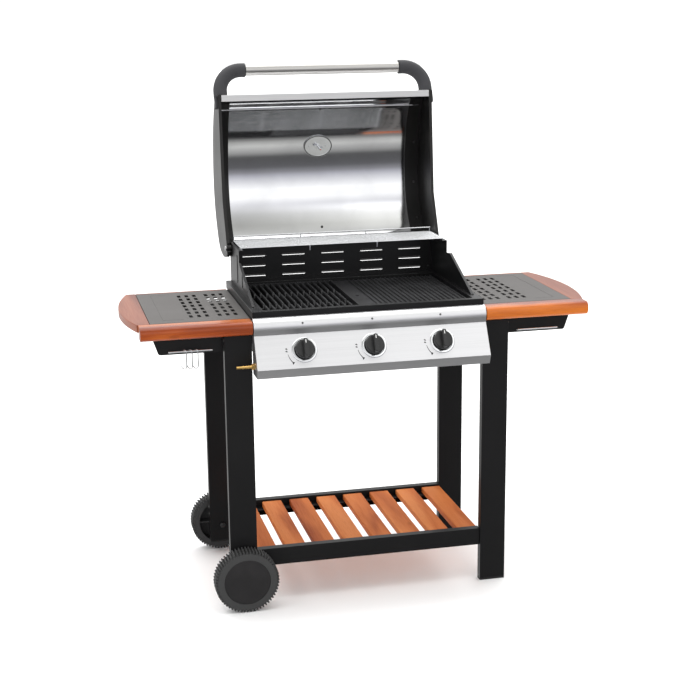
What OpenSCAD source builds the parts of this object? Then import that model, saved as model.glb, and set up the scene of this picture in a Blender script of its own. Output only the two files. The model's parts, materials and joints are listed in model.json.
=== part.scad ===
// Gas barbecue on a trolley: firebox with hinged lid, three burners, two side shelves.
// Millimetres, +Z up. The front faces -Y. The origin is on the floor under the middle of
// the whole object. Inside at_cart() Y is counted from the front face of the front legs.

/* [Cart] */
// Width over the outer faces of the legs
cart_w = 826.8; // [760:1:900]
// Depth from the front face of the front legs to the back face of the back legs
cart_d = 447.5; // [420:1:480]
// Width of a leg, seen from the front
leg_w = 77; // [60:1:78]
// Depth of a leg
leg_d = 24; // [20:1:30]
// Height of the leg tops
leg_top = 805; // [800:1:806]
// Height at which the two wheeled legs end
wheeled_leg_lift = 42; // [30:1:60]
// Bottom edge of the lower rails
low_rail_z = 113; // [100:1:140]
// Height of the lower rails
low_rail_h = 51; // [45:1:60]
// Number of slats in the lower shelf
slat_count = 8; // [6:1:9]
// Width of a slat
slat_w = 61; // [50:1:65]

/* [Wheels] */
// Diameter over the tread
wheel_d = 184; // [176:2:186]
// Width of a wheel
wheel_w = 46; // [40:1:48]
// Number of tread ribs
tread_ribs = 60; // [48:2:72]
// Distance of the wheel centres from the middle of the cart
wheel_x = 375; // [370:1:385]
// Diameter of the wheel bolts
wheel_bolt_d = 10; // [8:0.5:12]

/* [Firebox] */
// Height of the rim that the hood closes on
rim_top = 866; // [864:1:868]
// Width over the rim
rim_w = 669; // [660:1:670]
// Height of the side plates at the back
side_plate_top = 985; // [970:1:990]
// Distance between the outer faces of the side plates
side_plate_w = 638; // [634:1:640]
// Height of the cooking surface
cook_z = 860; // [856:1:862]

/* [Control panel] */
// Distance between two knobs
knob_pitch = 198.4; // [150:1:210]
// Diameter of a knob
knob_d = 55; // [48:1:58]
// Diameter of the chrome ring round a knob
bezel_d = 72; // [68:1:80]
// Number of degrees that a knob turns from off to low
knob_turn = 200; // [90:10:240]

/* [Lid] */
// Width over the end caps of the lid
lid_w = 668; // [664:1:670]
// Thickness of the lid sheet
lid_t = 1.2; // [0.8:0.1:1.5]
// Distance of the hinge line behind the front of the front legs
hinge_y = 435; // [433:1:437]
// Height of the hinge line
hinge_z = 970; // [968:1:972]
// Diameter of the handle tube
handle_d = 34; // [24:1:36]

/* [Side shelves] */
// Height of the shelf tops
shelf_z = 843; // [843:1:843]
// Distance of the outer edge of a shelf plate from the middle
plate_out = 612; // [600:1:640]
// Distance of the outer end of a front rail from the middle
wood_out = 645; // [640:1:660]
// Height of the front rails
wood_h = 38; // [34:1:38]
// Length of the slots in a shelf plate
slot_len = 30; // [20:1:34]
// Width of the slots in a shelf plate
slot_w = 10.5; // [8:0.5:12]

/* [Hidden] */
$fn = 48;

black = "#1e1c1c";
iron = "#26262a";
plate_grey = "#8c8882";
steel = "#c4c4c6";
mirror_steel = "#d8dadc";
orange_wood = "#b9552a";
pale_wood = "#c98f72";
slat_wood = "#c8784a";
wheel_grey = "#36363a";
brass = "#c9a24d";

// Half the depth of the whole object: the frame's origin lies this far behind the legs' front
origin_y = 292.03;
leg_x = cart_w / 2 - leg_w / 2;
leg_inner = cart_w / 2 - leg_w;
leg_wall = 2;
plug_h = 6;
low_rail_top = low_rail_z + low_rail_h;
slat_top = low_rail_top - 4;
slat_t = 18;
slat_pitch = (2 * leg_inner - slat_w - 1) / (slat_count - 1);
wheel_gap = 7;
wheel_r = wheel_d / 2;
fit_gap = 0.05;

rim_out = rim_w / 2;
rim_h = 23;
rim_bottom = rim_top - rim_h;
rim_front = -8.4;
rim_back = 462;
mouth_x = 306;
mouth_front = 10;
mouth_back = 412;
tub_x = 300;
tub_front = 18;
tub_back = 404;
tub_t = 1.5;
side_x = side_plate_w / 2;
side_t = 2;

// Control panel: where the flat part lies, and its slope
panel_mid_y = -51.1;
panel_mid_z = 761;
panel_tilt = 61.04;
panel_t = 1.5;
panel_x = 335;
knob_r = knob_d / 2;
knob_push = 4;
stem_r = 4;
tap_r = 8;
manifold_r = 8;
manifold_drop = 30;
burner_z = 748;
burner_r = 13;

lid_x = lid_w / 2;
lid_sheet_x = 318.5;
cap_wall = 3;
cap_bead = 2.4;
cap_band = 3;
cap_band_in = 287;
pin_r = 4;
// The lid wall that carries the handle: a point on it, and its slope
handle_foot_y = 540;
handle_foot_z = 1412;
handle_tilt = -20.5;
handle_out = 84;
elbow_r = 66;
elbow_tube_r = 21;
elbow_end_x = 256;
// The lid wall that carries the thermometer
dial_y = 653.9;
dial_z = 1246;
dial_tilt = -79.9;

plate_in = 337.4;
plate_front = 22.5;
plate_back = 433;
wood_front = -34.5;
wood_back = 448;
plank_t = 22;
end_arc_r = 665;
rail_wire_y = 8;
rail_wire_z = 764;
rail_wire_r = 2.5;

// ---------- helpers ----------

module at_cart() {
    translate([0, -origin_y, 0]) children();
}

// Extrudes a Y-Z outline along X
module along_x(x0, x1) {
    translate([x0, 0, 0]) rotate([90, 0, 90]) linear_extrude(x1 - x0) children();
}

// Extrudes an X-Z outline along Y
module along_y(y0, y1) {
    translate([0, y1, 0]) rotate([90, 0, 0]) linear_extrude(y1 - y0) children();
}

module block(x0, x1, y0, y1, z0, z1) {
    translate([x0, y0, z0]) cube([x1 - x0, y1 - y0, z1 - z0]);
}

module rod_x(x0, x1, y, z, r) {
    translate([x0, y, z]) rotate([0, 90, 0]) cylinder(h = x1 - x0, r = r);
}

module rod_y(x, y0, y1, z, r) {
    translate([x, y0, z]) rotate([-90, 0, 0]) cylinder(h = y1 - y0, r = r);
}

// Draws its children on both sides of the cart
module both_sides() {
    children();
    mirror([1, 0, 0]) children();
}

module soft_rect(w, h, r) {
    square([w - 2 * r, h], center = true);
    square([w, h - 2 * r], center = true);
    for (sx = [-1, 1], sy = [-1, 1])
        translate([sx * (w / 2 - r), sy * (h / 2 - r)]) circle(r, $fn = 24);
}

function seg_normal(a, b) =
    let (d = b - a, l = norm(d))
    [-d[1] / l, d[0] / l];

// The point that lies t to the left of point i of the open path p
function miter(p, i, t) =
    let (n = len(p),
        m = seg_normal(p[max(i - 1, 0)], p[max(i, 1)])
            + seg_normal(p[min(i, n - 2)], p[min(i + 1, n - 1)]))
    p[i] + m * (2 * t / (m * m));

function shifted(p, t) = [for (i = [0 : len(p) - 1]) miter(p, i, t)];

function reversed(p) = [for (i = [len(p) - 1 : -1 : 0]) p[i]];

// Outline of a sheet that runs between the offsets t0 and t1 of a path
function ribbon(p, t0, t1) = concat(shifted(p, t0), reversed(shifted(p, t1)));

// One point of a smooth curve through four points, between the middle two
function blend_point(a, b, c, d, s) =
    0.5 * (2 * b + (c - a) * s + (2 * a - 5 * b + 4 * c - d) * s * s
        + (3 * b - a - 3 * c + d) * s * s * s);

// Smooth curve through the points p with n pieces between two of them
function smooth(p, n) =
    let (k = len(p) - 1)
    [for (i = [0 : k - 1], j = [0 : n - 1])
        blend_point(p[max(i - 1, 0)], p[i], p[i + 1], p[min(i + 2, k)], j / n), p[k]];

function arc_points(cx, cy, r, a0, a1, n) =
    [for (i = [0 : n]) [cx + r * cos(a0 + (a1 - a0) * i / n), cy + r * sin(a0 + (a1 - a0) * i / n)]];

function oval(a, b, n) = [for (i = [0 : n - 1]) [a * cos(360 * i / n), b * sin(360 * i / n)]];

// ---------- cart ----------

module leg(side, y0, z0, bolt_hole) {
    difference() {
        translate([side * leg_x - leg_w / 2, y0, z0]) cube([leg_w, leg_d, leg_top - z0]);
        translate([side * leg_x - leg_w / 2 + leg_wall, y0 + leg_wall, z0 - 1])
            cube([leg_w - 2 * leg_wall, leg_d - 2 * leg_wall, leg_top - z0 + 2]);
        if (bolt_hole) rod_y(-wheel_x, y0 - 1, y0 + leg_d + 1, wheel_r, wheel_bolt_d / 2);
    }
}

module leg_front_left() color(black) at_cart() leg(-1, 0, wheeled_leg_lift, true);

module leg_front_right() color(black) at_cart() leg(1, 0, plug_h, false);

module leg_back_left() color(black) at_cart() leg(-1, cart_d - leg_d, wheeled_leg_lift, true);

module leg_back_right() color(black) at_cart() leg(1, cart_d - leg_d, plug_h, false);

// Plastic plugs that close the lower ends of the legs
module leg_plug(side, y0, z0) {
    insert_h = 18;
    slack = leg_wall + 0.2;
    translate([side * leg_x - leg_w / 2, y0, z0 - plug_h]) cube([leg_w, leg_d, plug_h]);
    translate([side * leg_x - leg_w / 2 + slack, y0 + slack, z0 - 1])
        cube([leg_w - 2 * slack, leg_d - 2 * slack, insert_h]);
}

module leg_plugs() color(iron) at_cart() {
    leg_plug(1, 0, plug_h);
    leg_plug(1, cart_d - leg_d, plug_h);
    leg_plug(-1, 0, wheeled_leg_lift);
    leg_plug(-1, cart_d - leg_d, wheeled_leg_lift);
}

// Folded rail of the lower shelf: a channel with a ledge on which the slats lie
module low_rail() {
    face_y = 5.7;
    flange = 24;
    ledge_z = slat_top - slat_t;
    path = [[face_y + flange, low_rail_z], [face_y, low_rail_z], [face_y, low_rail_top],
        [face_y + flange, low_rail_top], [face_y + flange, ledge_z], [face_y + flange + 30, ledge_z]];
    along_x(-leg_inner, leg_inner) polygon(ribbon(path, 0, -leg_wall));
}

module shelf_rail_front() color(black) at_cart() low_rail();

module shelf_rail_back() color(black) at_cart() translate([0, cart_d, 0]) mirror([0, 1, 0]) low_rail();

module shelf_slats() color(slat_wood) at_cart() {
    first_x = -slat_pitch * (slat_count - 1) / 2;
    end_y = 36;
    corner = 3;
    for (i = [0 : slat_count - 1])
        translate([first_x + i * slat_pitch, 0, slat_top - slat_t / 2])
            along_y(end_y, cart_d - end_y) soft_rect(slat_w, slat_t, corner);
}

// Angles between the legs that carry the firebox
module firebox_bearers() color(black) at_cart() both_sides() {
    wall = 2;
    top = rim_bottom - tub_t;
    block(leg_inner - wall, leg_inner, 2, cart_d - 2, leg_top - 30, top);
    block(mouth_x, leg_inner, 2, cart_d - 2, top - wall, top);
}

// ---------- wheels ----------

module wheel_bolt() {
    head_r = 8;
    head_h = 4.6;
    head_seat = -wheel_gap - wheel_w + 7.8;
    nut_y = leg_d + 0.5;
    r = wheel_bolt_d / 2;
    rod_y(0, head_seat, nut_y + 8, 0, r);
    rod_y(0, head_seat - head_h, head_seat, 0, head_r);
    translate([0, nut_y, 0]) rotate([-90, 0, 0]) cylinder(h = 7, r = head_r + 1, $fn = 6);
    rod_y(0, -wheel_gap + 0.4, 0, 0, head_r + 2);
}

module wheel_bolts() color(steel) at_cart() {
    translate([-wheel_x, 0, wheel_r]) wheel_bolt();
    translate([-wheel_x, cart_d, wheel_r]) mirror([0, 1, 0]) wheel_bolt();
}

// Ribbed wheel, outer face at the low Y end, hollow on the inner side
module wheel() {
    rib = 7;
    rib_inset = 1.5;
    flank = 0.15;
    bolt_r = wheel_bolt_d / 2;
    web = 12;
    hub_r = 17;
    rim_in = 68;
    cap_seat_r = 66.5;
    cap_seat_h = 2.5;
    bolt_pocket_r = 12;
    spokes = 6;
    n = tread_ribs * 4;
    tread = [for (i = [0 : n - 1])
        let (q = i % 4, r = q < 2 ? wheel_r : wheel_r - rib)
        let (a = 360 * (i + (q % 2 == 0 ? -flank : flank)) / n)
        [r * cos(a), r * sin(a)]];
    rotate([-90, 0, 0]) difference() {
        union() {
            cylinder(h = wheel_w, r = wheel_r - rib);
            translate([0, 0, rib_inset]) linear_extrude(wheel_w - 2 * rib_inset) polygon(tread);
        }
        translate([0, 0, -1]) cylinder(h = cap_seat_h + 1, r = cap_seat_r);
        translate([0, 0, -1]) cylinder(h = wheel_w + 2, r = bolt_r + fit_gap);
        translate([0, 0, -1]) cylinder(h = web - 4 + 1, r = bolt_pocket_r);
        difference() {
            translate([0, 0, web]) cylinder(h = wheel_w, r = rim_in);
            cylinder(h = wheel_w + web, r = hub_r);
            for (i = [0 : spokes - 1])
                rotate([0, 0, i * 360 / spokes]) translate([0, -2, 0]) cube([wheel_r, 4, wheel_w - 5]);
        }
    }
}

module hub_cap() {
    seat_h = 2.5;
    r = 66;
    rotate([-90, 0, 0]) {
        translate([0, 0, 0.5]) cylinder(h = seat_h - 0.5, r = r);
        cylinder(h = 0.5, r1 = r - 2, r2 = r);
    }
}

module on_front_wheel() {
    translate([-wheel_x, -wheel_gap - wheel_w, wheel_r]) children();
}

module on_back_wheel() {
    translate([-wheel_x, cart_d + wheel_gap + wheel_w, wheel_r]) mirror([0, 1, 0]) children();
}

module wheel_front() color(wheel_grey) at_cart() on_front_wheel() wheel();

module wheel_back() color(wheel_grey) at_cart() on_back_wheel() wheel();

module hub_cap_front() color(wheel_grey) at_cart() on_front_wheel() hub_cap();

module hub_cap_back() color(wheel_grey) at_cart() on_back_wheel() hub_cap();

// ---------- firebox ----------

module firebox_tub() color(black) at_cart() {
    knee_z = 735;
    floor_z = 700;
    floor_front = 180;
    floor_back = 245;
    drain_r = 18;
    trough = [[tub_front, rim_bottom - tub_t], [tub_front, knee_z], [floor_front, floor_z],
        [floor_back, floor_z], [tub_back, knee_z], [tub_back, rim_bottom - tub_t]];
    difference() {
        union() {
            along_x(-tub_x, tub_x) polygon(ribbon(trough, 0, tub_t));
            along_x(-tub_x, -tub_x + tub_t) polygon(trough);
            along_x(tub_x - tub_t, tub_x) polygon(trough);
            difference() {
                block(-rim_out + 3, rim_out - 3, rim_front + 3.5, rim_back - 3.5, rim_bottom - tub_t, rim_bottom);
                block(-tub_x + 2, tub_x - 2, tub_front + 2, tub_back - 2, rim_bottom - 5, rim_bottom + 1);
            }
        }
        for (i = [-1 : 1]) rod_y(i * knob_pitch, tub_front - 5, tub_front + 5, burner_z, burner_r + 1);
        translate([0, (floor_front + floor_back) / 2, floor_z - 5]) cylinder(h = 10, r = drain_r);
    }
}

// Pressed frame round the mouth of the firebox
module firebox_rim() color(black) at_cart() {
    skin = 2.5;
    difference() {
        block(-rim_out, rim_out, rim_front, rim_back, rim_bottom, rim_top);
        block(-mouth_x, mouth_x, mouth_front, mouth_back, rim_bottom - 1, rim_top + 1);
        difference() {
            block(-rim_out + skin, rim_out - skin, rim_front + skin, rim_back - skin, rim_bottom - 1, rim_top - skin);
            block(-mouth_x - skin, mouth_x + skin, mouth_front - skin, mouth_back + skin, rim_bottom - 2, rim_top);
        }
    }
}

// Side wall above the rim: high at the back, sloping down to the front
module side_plate() {
    step_y = 296;
    step_z = 948;
    slope_y = 262;
    slope_z = 952;
    front_y = 48;
    rack_flange = 14;
    edge_w = 5.4;
    outline = [[front_y, rim_top], [slope_y, slope_z], [step_y, step_z], [step_y, side_plate_top],
        [rim_back - 2, side_plate_top], [rim_back - 2, rim_top]];
    rib_out = [[120, 882], [245, 932], [245, 882]];
    rib_in = [[140, 886], [241, 926], [241, 886]];
    difference() {
        union() {
            along_x(side_x - side_t, side_x) polygon(outline);
            block(side_x - rack_flange, side_x, step_y, rim_back - 4, side_plate_top - side_t, side_plate_top);
            along_x(side_x, side_x + edge_w)
                polygon(ribbon([[front_y + 4, rim_top + 1.8], [slope_y, slope_z]], 0, -2));
            along_x(side_x, side_x + 1.5) difference() {
                polygon(rib_out);
                polygon(rib_in);
            }
            along_x(side_x, side_x + 1.5) translate([330, 925]) soft_rect(8, 84, 3.9);
        }
        rod_x(side_x - 10, side_x + 10, hinge_y, hinge_z, pin_r);
    }
}

module side_plate_left() color(black) at_cart() mirror([1, 0, 0]) side_plate();

module side_plate_right() color(black) at_cart() side_plate();

module back_panel() color(black) at_cart() {
    y0 = rim_back - 4;
    y1 = rim_back - 2.2;
    slot = [72, 7];
    columns = 5;
    column_pitch = 123.4;
    rows = [909 - 30.4, 909, 909 + 30.4];
    hood = 9;
    for (row = rows, i = [0 : columns - 1])
        translate([(i - (columns - 1) / 2) * column_pitch, y1 - 0.2, row + slot[1] / 2])
            rotate([-45, 0, 0]) translate([-slot[0] / 2 - 2, 0, -0.5]) cube([slot[0] + 4, hood, 1]);
    difference() {
        union() {
            block(-side_x + side_t, side_x - side_t, y0, y1, rim_top, side_plate_top - side_t);
            block(-side_x + 18, side_x - 18, y0 - 8, y0, rim_top, rim_top + 1.5);
        }
        for (row = rows, i = [0 : columns - 1])
            translate([(i - (columns - 1) / 2) * column_pitch, 0, row])
                along_y(y0 - 1, y1 + 0.5) soft_rect(slot[0], slot[1], 3);
    }
}

// ---------- control panel and gas train ----------

function panel_path() =
    let (roll = arc_points(-6, 823, 27, 100, 205, 12))
    concat([[-9, 842.6]], roll, [[-28.4, 802], [-76, 716], [-67.5, 690], [-40, 690]]);

module on_panel(i) {
    translate([i * knob_pitch, panel_mid_y, panel_mid_z]) rotate([panel_tilt, 0, 0]) children();
}

module control_panel() color(steel) at_cart() {
    cheek = concat(panel_path(), [[-2, 690], [-2, 842.6]]);
    stem_hole_r = 9.5;
    difference() {
        union() {
            along_x(-panel_x, panel_x) polygon(ribbon(panel_path(), 0, panel_t));
            both_sides() along_x(panel_x - panel_t, panel_x) polygon(cheek);
        }
        for (i = [-1 : 1]) on_panel(i) translate([0, 0, -10]) cylinder(h = 20, r = stem_hole_r);
        rod_x(-panel_x - 5, -panel_x + 5, hose_y(), hose_z(), manifold_r + 1);
    }
}

// Height and depth of the manifold, straight below the taps in the panel's slope
tap_inlet_z = -32;
function hose_y() = panel_mid_y - sin(panel_tilt) * tap_inlet_z - cos(panel_tilt) * manifold_drop;
function hose_z() = panel_mid_z + cos(panel_tilt) * tap_inlet_z - sin(panel_tilt) * manifold_drop;

module manifold() color(steel) at_cart() {
    end_x = knob_pitch + 22;
    bore_r = 6;
    difference() {
        rod_x(-panel_x + 12, end_x, hose_y(), hose_z(), manifold_r);
        rod_x(-panel_x, end_x - 3, hose_y(), hose_z(), bore_r);
    }
}

// Barbed brass tail that the gas hose is pushed on
module hose_tail() color(brass) at_cart() {
    seat_x = -panel_x + 12;
    hex_x = seat_x - 16;
    barbs = 4;
    barb = 7;
    barb_x = hex_x - 6 - barbs * barb;
    bore_r = 2.5;
    tip_r = 4;
    difference() {
        union() {
            rod_x(seat_x - 16, seat_x + 10, hose_y(), hose_z(), 6);
            translate([hex_x - 6, hose_y(), hose_z()]) rotate([0, 90, 0]) cylinder(h = 10, r = 9, $fn = 6);
            for (i = [0 : barbs - 1]) translate([barb_x + i * barb, hose_y(), hose_z()])
                rotate([0, 90, 0]) cylinder(h = barb, r1 = tip_r, r2 = tip_r + 1.4);
            rod_x(barb_x - 14, barb_x, hose_y(), hose_z(), tip_r);
        }
        rod_x(barb_x - 20, seat_x + 12, hose_y(), hose_z(), bore_r);
    }
}

// Body of a gas tap: bolted behind the panel, fed from the manifold below it
module gas_tap() {
    back = -44;
    front = -4;
    difference() {
        union() {
            translate([0, 0, back]) cylinder(h = front - back, r = 13);
            translate([0, 0, -8]) cylinder(h = 4, r = 17);
            translate([-7, -manifold_drop + manifold_r + 0.3, tap_inlet_z - 7])
                cube([14, manifold_drop - manifold_r - 6, 14]);
        }
        translate([0, 0, back + 4]) cylinder(h = 60, r = tap_r + fit_gap);
        translate([0, 0, back - 1]) cylinder(h = 10, r = 2);
    }
}

module gas_taps() color(plate_grey) at_cart() for (i = [-1 : 1]) {
    on_panel(i) gas_tap();
    // Gas jet that points into the burner
    rod_y(i * knob_pitch, -10, 8, burner_z - 2, 5);
}

// Turning plug of a tap; the knob's spindle slides in it
module tap_plug(i) {
    plug_back = -39.6;
    plug_front = -3;
    on_panel(i) difference() {
        translate([0, 0, plug_back]) cylinder(h = plug_front - plug_back, r = tap_r);
        translate([0, 0, plug_back + 5]) cylinder(h = 60, r = stem_r + fit_gap);
    }
}

module tap_plug_left() color(brass) at_cart() tap_plug(-1);

module tap_plug_middle() color(brass) at_cart() tap_plug(0);

module tap_plug_right() color(brass) at_cart() tap_plug(1);

module knob_bezels() color(mirror_steel) at_cart() for (i = [-1 : 1]) on_panel(i) difference() {
    union() {
        cylinder(h = 1.6, r = bezel_d / 2);
        translate([0, 0, 1.6]) cylinder(h = 1.8, r1 = bezel_d / 2, r2 = bezel_d / 2 - 3);
    }
    translate([0, 0, 1]) cylinder(h = 6, r1 = knob_r + 1, r2 = knob_r + 4);
    translate([0, 0, -1]) cylinder(h = 6, r = 9.5);
}

// Knob with a raised grip bar, and its spindle
module knob(i) {
    skirt_z = 6;
    skirt_h = 11;
    grip_top = 33;
    grip_w = 13;
    spindle_back = -28;
    on_panel(i) {
        difference() {
            union() {
                translate([0, 0, skirt_z]) cylinder(h = skirt_h - 2, r1 = knob_r, r2 = knob_r - 1.2);
                translate([0, 0, skirt_z + skirt_h - 2]) cylinder(h = 2, r1 = knob_r - 1.2, r2 = knob_r - 3.2);
                translate([0, 0, skirt_z]) linear_extrude(grip_top - skirt_z - 2)
                    soft_rect(grip_w, 2 * knob_r - 4, 5);
                translate([0, 0, grip_top - 2]) linear_extrude(2) soft_rect(grip_w - 3, 2 * knob_r - 8, 4);
            }
            translate([0, 0, skirt_z - 1]) cylinder(h = 9, r = stem_r + 2.6);
        }
        translate([0, 0, spindle_back]) cylinder(h = skirt_z + 10 - spindle_back, r = stem_r);
        // Pointer dot
        translate([0, knob_r - 6, grip_top - 0.2]) cylinder(h = 0.6, r = 1.6);
    }
}

module knob_left() color(black) at_cart() knob(-1);

module knob_middle() color(black) at_cart() knob(0);

module knob_right() color(black) at_cart() knob(1);

module burners() color(plate_grey) at_cart() for (i = [-1 : 1]) translate([i * knob_pitch, 0, burner_z]) {
    ports = 12;
    port_pitch = 26;
    difference() {
        union() {
            rod_y(0, tub_front + 6, tub_back - 8, 0, burner_r);
            rod_y(0, 10, tub_front + 8, 0, burner_r - 2);
        }
        rod_y(0, 9, tub_back - 12, 0, burner_r - 4);
        for (k = [0 : ports - 1]) translate([0, 70 + k * port_pitch, -2])
            for (a = [-40, 40]) rotate([0, a, 0]) cylinder(h = 30, r = 1.8, $fn = 16);
    }
    block(-8, 8, tub_back - 8, tub_back - tub_t, -6, 6);
}

// Folded sheets over the burners
module flame_tamers() color(black) at_cart() {
    half_w = 52;
    peak = 815;
    foot = 785;
    for (i = [-1 : 1]) translate([i * knob_pitch, 0, 0])
        along_y(tub_front + 4, tub_back - 4)
            polygon(ribbon([[-half_w, foot - 8], [-half_w, foot], [0, peak], [half_w, foot], [half_w, foot - 8]],
                0, -1.2));
    // Ledges that carry the sheets at the front and the back
    for (y = [tub_front + tub_t, tub_back - tub_t - 12])
        block(-tub_x + 3, tub_x - 3, y, y + 12, foot - 11, foot - 9);
}

module igniters() color("white") at_cart() for (i = [-1 : 1]) translate([i * knob_pitch + 22, 0, 0]) {
    rod_y(0, tub_front + 3, tub_front + 34, burner_z + 14, 3.5);
    rod_y(0, tub_front + 33, tub_front + 46, burner_z + 14, 1);
    block(-6, 6, tub_front + 2, tub_front + 4, burner_z - 2, burner_z + 19);
}

// Fat tray under the firebox; it pulls out at the back
module drip_tray() color(plate_grey) at_cart() {
    x = 250;
    y0 = 60;
    y1 = 420;
    z0 = 668;
    z1 = 692;
    t = 1.5;
    difference() {
        block(-x, x, y0, y1, z0, z1);
        block(-x + t, x - t, y0 + t, y1 - t, z0 + t, z1 + 1);
    }
    difference() {
        block(-x - 10, x + 10, y0, y1, z1 - t, z1);
        block(-x + t, x - t, y0 + t, y1 - t, z1 - 5, z1 + 1);
    }
    // Pull at the back edge
    block(-50, 50, y1, y1 + 14, z1 - t, z1);
    block(-50, 50, y1 + 14 - t, y1 + 14, z1 - 14, z1);
}

// ---------- cooking surface ----------

grate_left = -304;
grate_right = -15;
griddle_left = -12;
griddle_right = 304;
cook_front = 12;
cook_back = 410;

module grate() color(iron) at_cart() {
    bars = 14;
    edge = 7;
    bar_top = 7.5;
    bar_foot = 4.5;
    row_gaps = [108, 256];
    gap_top = 12;
    inside_w = grate_right - grate_left - 2 * edge;
    pitch = inside_w / (bars + 1);
    foot_z = rim_bottom;
    low_z = foot_z + 7;
    difference() {
        block(grate_left, grate_right, cook_front, cook_back, foot_z, cook_z);
        block(grate_left + edge, grate_right - edge, cook_front + 10, cook_back - 10, foot_z - 1, cook_z + 1);
    }
    // Bars in three rows, with sloped ends towards the gaps between the rows
    difference() {
        for (i = [1 : bars]) translate([grate_left + edge + i * pitch, 0, 0])
            along_y(cook_front + 5, cook_back - 5)
                polygon([[-bar_foot / 2, foot_z + 1], [bar_foot / 2, foot_z + 1], [bar_top / 2, cook_z - 3],
                    [bar_top / 2 - 1.5, cook_z], [-bar_top / 2 + 1.5, cook_z], [-bar_top / 2, cook_z - 3]]);
        for (y = concat([cook_front + 16], row_gaps))
            along_x(grate_left + edge + 0.5, grate_right - edge - 0.5)
                polygon([[y - 5, low_z], [y + 5, low_z], [y + gap_top, cook_z + 1], [y - gap_top, cook_z + 1]]);
    }
    for (y = row_gaps)
        along_x(grate_left + 3, grate_right - 3)
            polygon([[y - 4, foot_z + 1], [y + 4, foot_z + 1], [y + 4, low_z - 0.5], [y - 4, low_z - 0.5]]);
}

module griddle() color(iron) at_cart() {
    ribs = 19;
    rib_first = 36;
    rib_last = 296;
    floor_z = cook_z - 4;
    rib_w = 6.5;
    pitch = (rib_last - rib_first) / (ribs - 1);
    difference() {
        block(griddle_left, griddle_right, cook_front, cook_back, floor_z - 5, floor_z);
        translate([9, 181, floor_z - 10]) cylinder(h = 20, r = 6);
    }
    difference() {
        block(griddle_left, griddle_right, cook_front, cook_back, rim_bottom, floor_z - 5);
        block(griddle_left + 6, griddle_right - 6, cook_front + 12, cook_back - 12, rim_bottom - 1, floor_z);
    }
    for (i = [0 : ribs - 1]) translate([rib_first + i * pitch, 0, 0])
        along_y(cook_front + 8, cook_back - 10)
            polygon([[-rib_w / 2, floor_z - 0.5], [rib_w / 2, floor_z - 0.5], [1.6, cook_z], [-1.6, cook_z]]);
}

// Wire rack that lies across the tops of the side plates
module warming_rack() color(mirror_steel) at_cart() {
    wires = 11;
    first_y = 308;
    last_y = 446;
    wire_r = 1.5;
    bar_r = 2;
    half_w = 311;
    bar_z = side_plate_top + bar_r + 0.05;
    wire_z = bar_z + bar_r + wire_r - 0.6;
    back_z = wire_z + 13;
    pitch = (last_y - first_y) / (wires - 1);
    for (i = [0 : wires - 1]) rod_x(-half_w, half_w, first_y + i * pitch, wire_z, wire_r);
    for (x = [-half_w + 2, -103, 103, half_w - 2]) {
        rod_y(x, first_y - 3, last_y + 3, bar_z, bar_r);
        translate([x, last_y, bar_z]) cylinder(h = back_z - bar_z, r = wire_r);
    }
    for (x = [-103, 103]) translate([x, first_y - 1, bar_z - 12]) cylinder(h = 12, r = bar_r);
    rod_x(-half_w + 1, half_w - 1, last_y, back_z, bar_r);
}

// ---------- lid, drawn open ----------

lid_guide = [[513.6, 1421], [556, 1409], [588, 1397], [604, 1378], [621, 1350], [643, 1295], [655, 1240],
    [661, 1190], [662, 1145], [655, 1093], [638, 1045], [612, 1000], [584, 965], [552, 947],
    [510, 938.5], [479, 938]];
lid_curve = smooth(lid_guide, 3);
lid_rim = [[513, 1421], [485, 1108], [430, 986]];

// Middle of one chord of the lid's curve, +Z pointing out of the lid
module on_lid_chord(i) {
    a = lid_curve[i];
    b = lid_curve[i + 1];
    translate([0, (a[0] + b[0]) / 2, (a[1] + b[1]) / 2])
        rotate([atan2(b[1] - a[1], b[0] - a[0]), 0, 0]) children();
}

module lid_sheet() color(mirror_steel) at_cart() difference() {
    along_x(-lid_sheet_x, lid_sheet_x) polygon(ribbon(lid_curve, 0, -lid_t));
    on_dial() translate([0, 0, -10]) cylinder(h = 20, r = 5);
}

// End cap: a side wall, a band behind the sheet's edge, a bead outside it, and a hinge boss
module lid_cap() {
    boss_r = 13;
    rim_lip_w = 9;
    rim_lip_t = 3;
    wall_in = lid_x - cap_wall;
    outline = concat(shifted(lid_curve, cap_bead), [[440, 944], [423, 958]], reversed(lid_rim));
    difference() {
        union() {
            along_x(wall_in, lid_x) polygon(outline);
            rod_x(wall_in, lid_x, hinge_y, hinge_z, boss_r);
            along_x(cap_band_in, wall_in + 1) polygon(ribbon(lid_curve, -lid_t, -lid_t - cap_band));
            along_x(lid_sheet_x + 0.2, wall_in + 1) polygon(ribbon(lid_curve, -lid_t, cap_bead));
            along_x(lid_x - rim_lip_w, lid_x) polygon(ribbon(lid_rim, 0, rim_lip_t));
            rod_x(side_x + 0.6, wall_in + 1, hinge_y, hinge_z, boss_r - 3);
        }
        rod_x(side_x - 5, lid_x + 5, hinge_y, hinge_z, pin_r + fit_gap);
    }
}

module lid_cap_left() color(black) at_cart() mirror([1, 0, 0]) lid_cap();

module lid_cap_right() color(black) at_cart() lid_cap();

// Folded strip along the front edge of the lid
module lid_trim() color(steel) at_cart() {
    x = 324;
    y0 = 509.8;
    z0 = 1402;
    z1 = 1421.4;
    block(-x, x, y0, y0 + 2.4, z0, z1);
    block(-x, x, y0 + 2, y0 + 26, z0, z0 + 1.5);
}

module on_lid_wall() {
    translate([0, handle_foot_y, handle_foot_z]) rotate([handle_tilt, 0, 0]) children();
}

module handle_tube() color(steel) at_cart() on_lid_wall() difference() {
    rod_x(-elbow_end_x, elbow_end_x, 0, handle_out, handle_d / 2);
    rod_x(-elbow_end_x - 1, elbow_end_x + 1, 0, handle_out, handle_d / 2 - 1.5);
}

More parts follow.
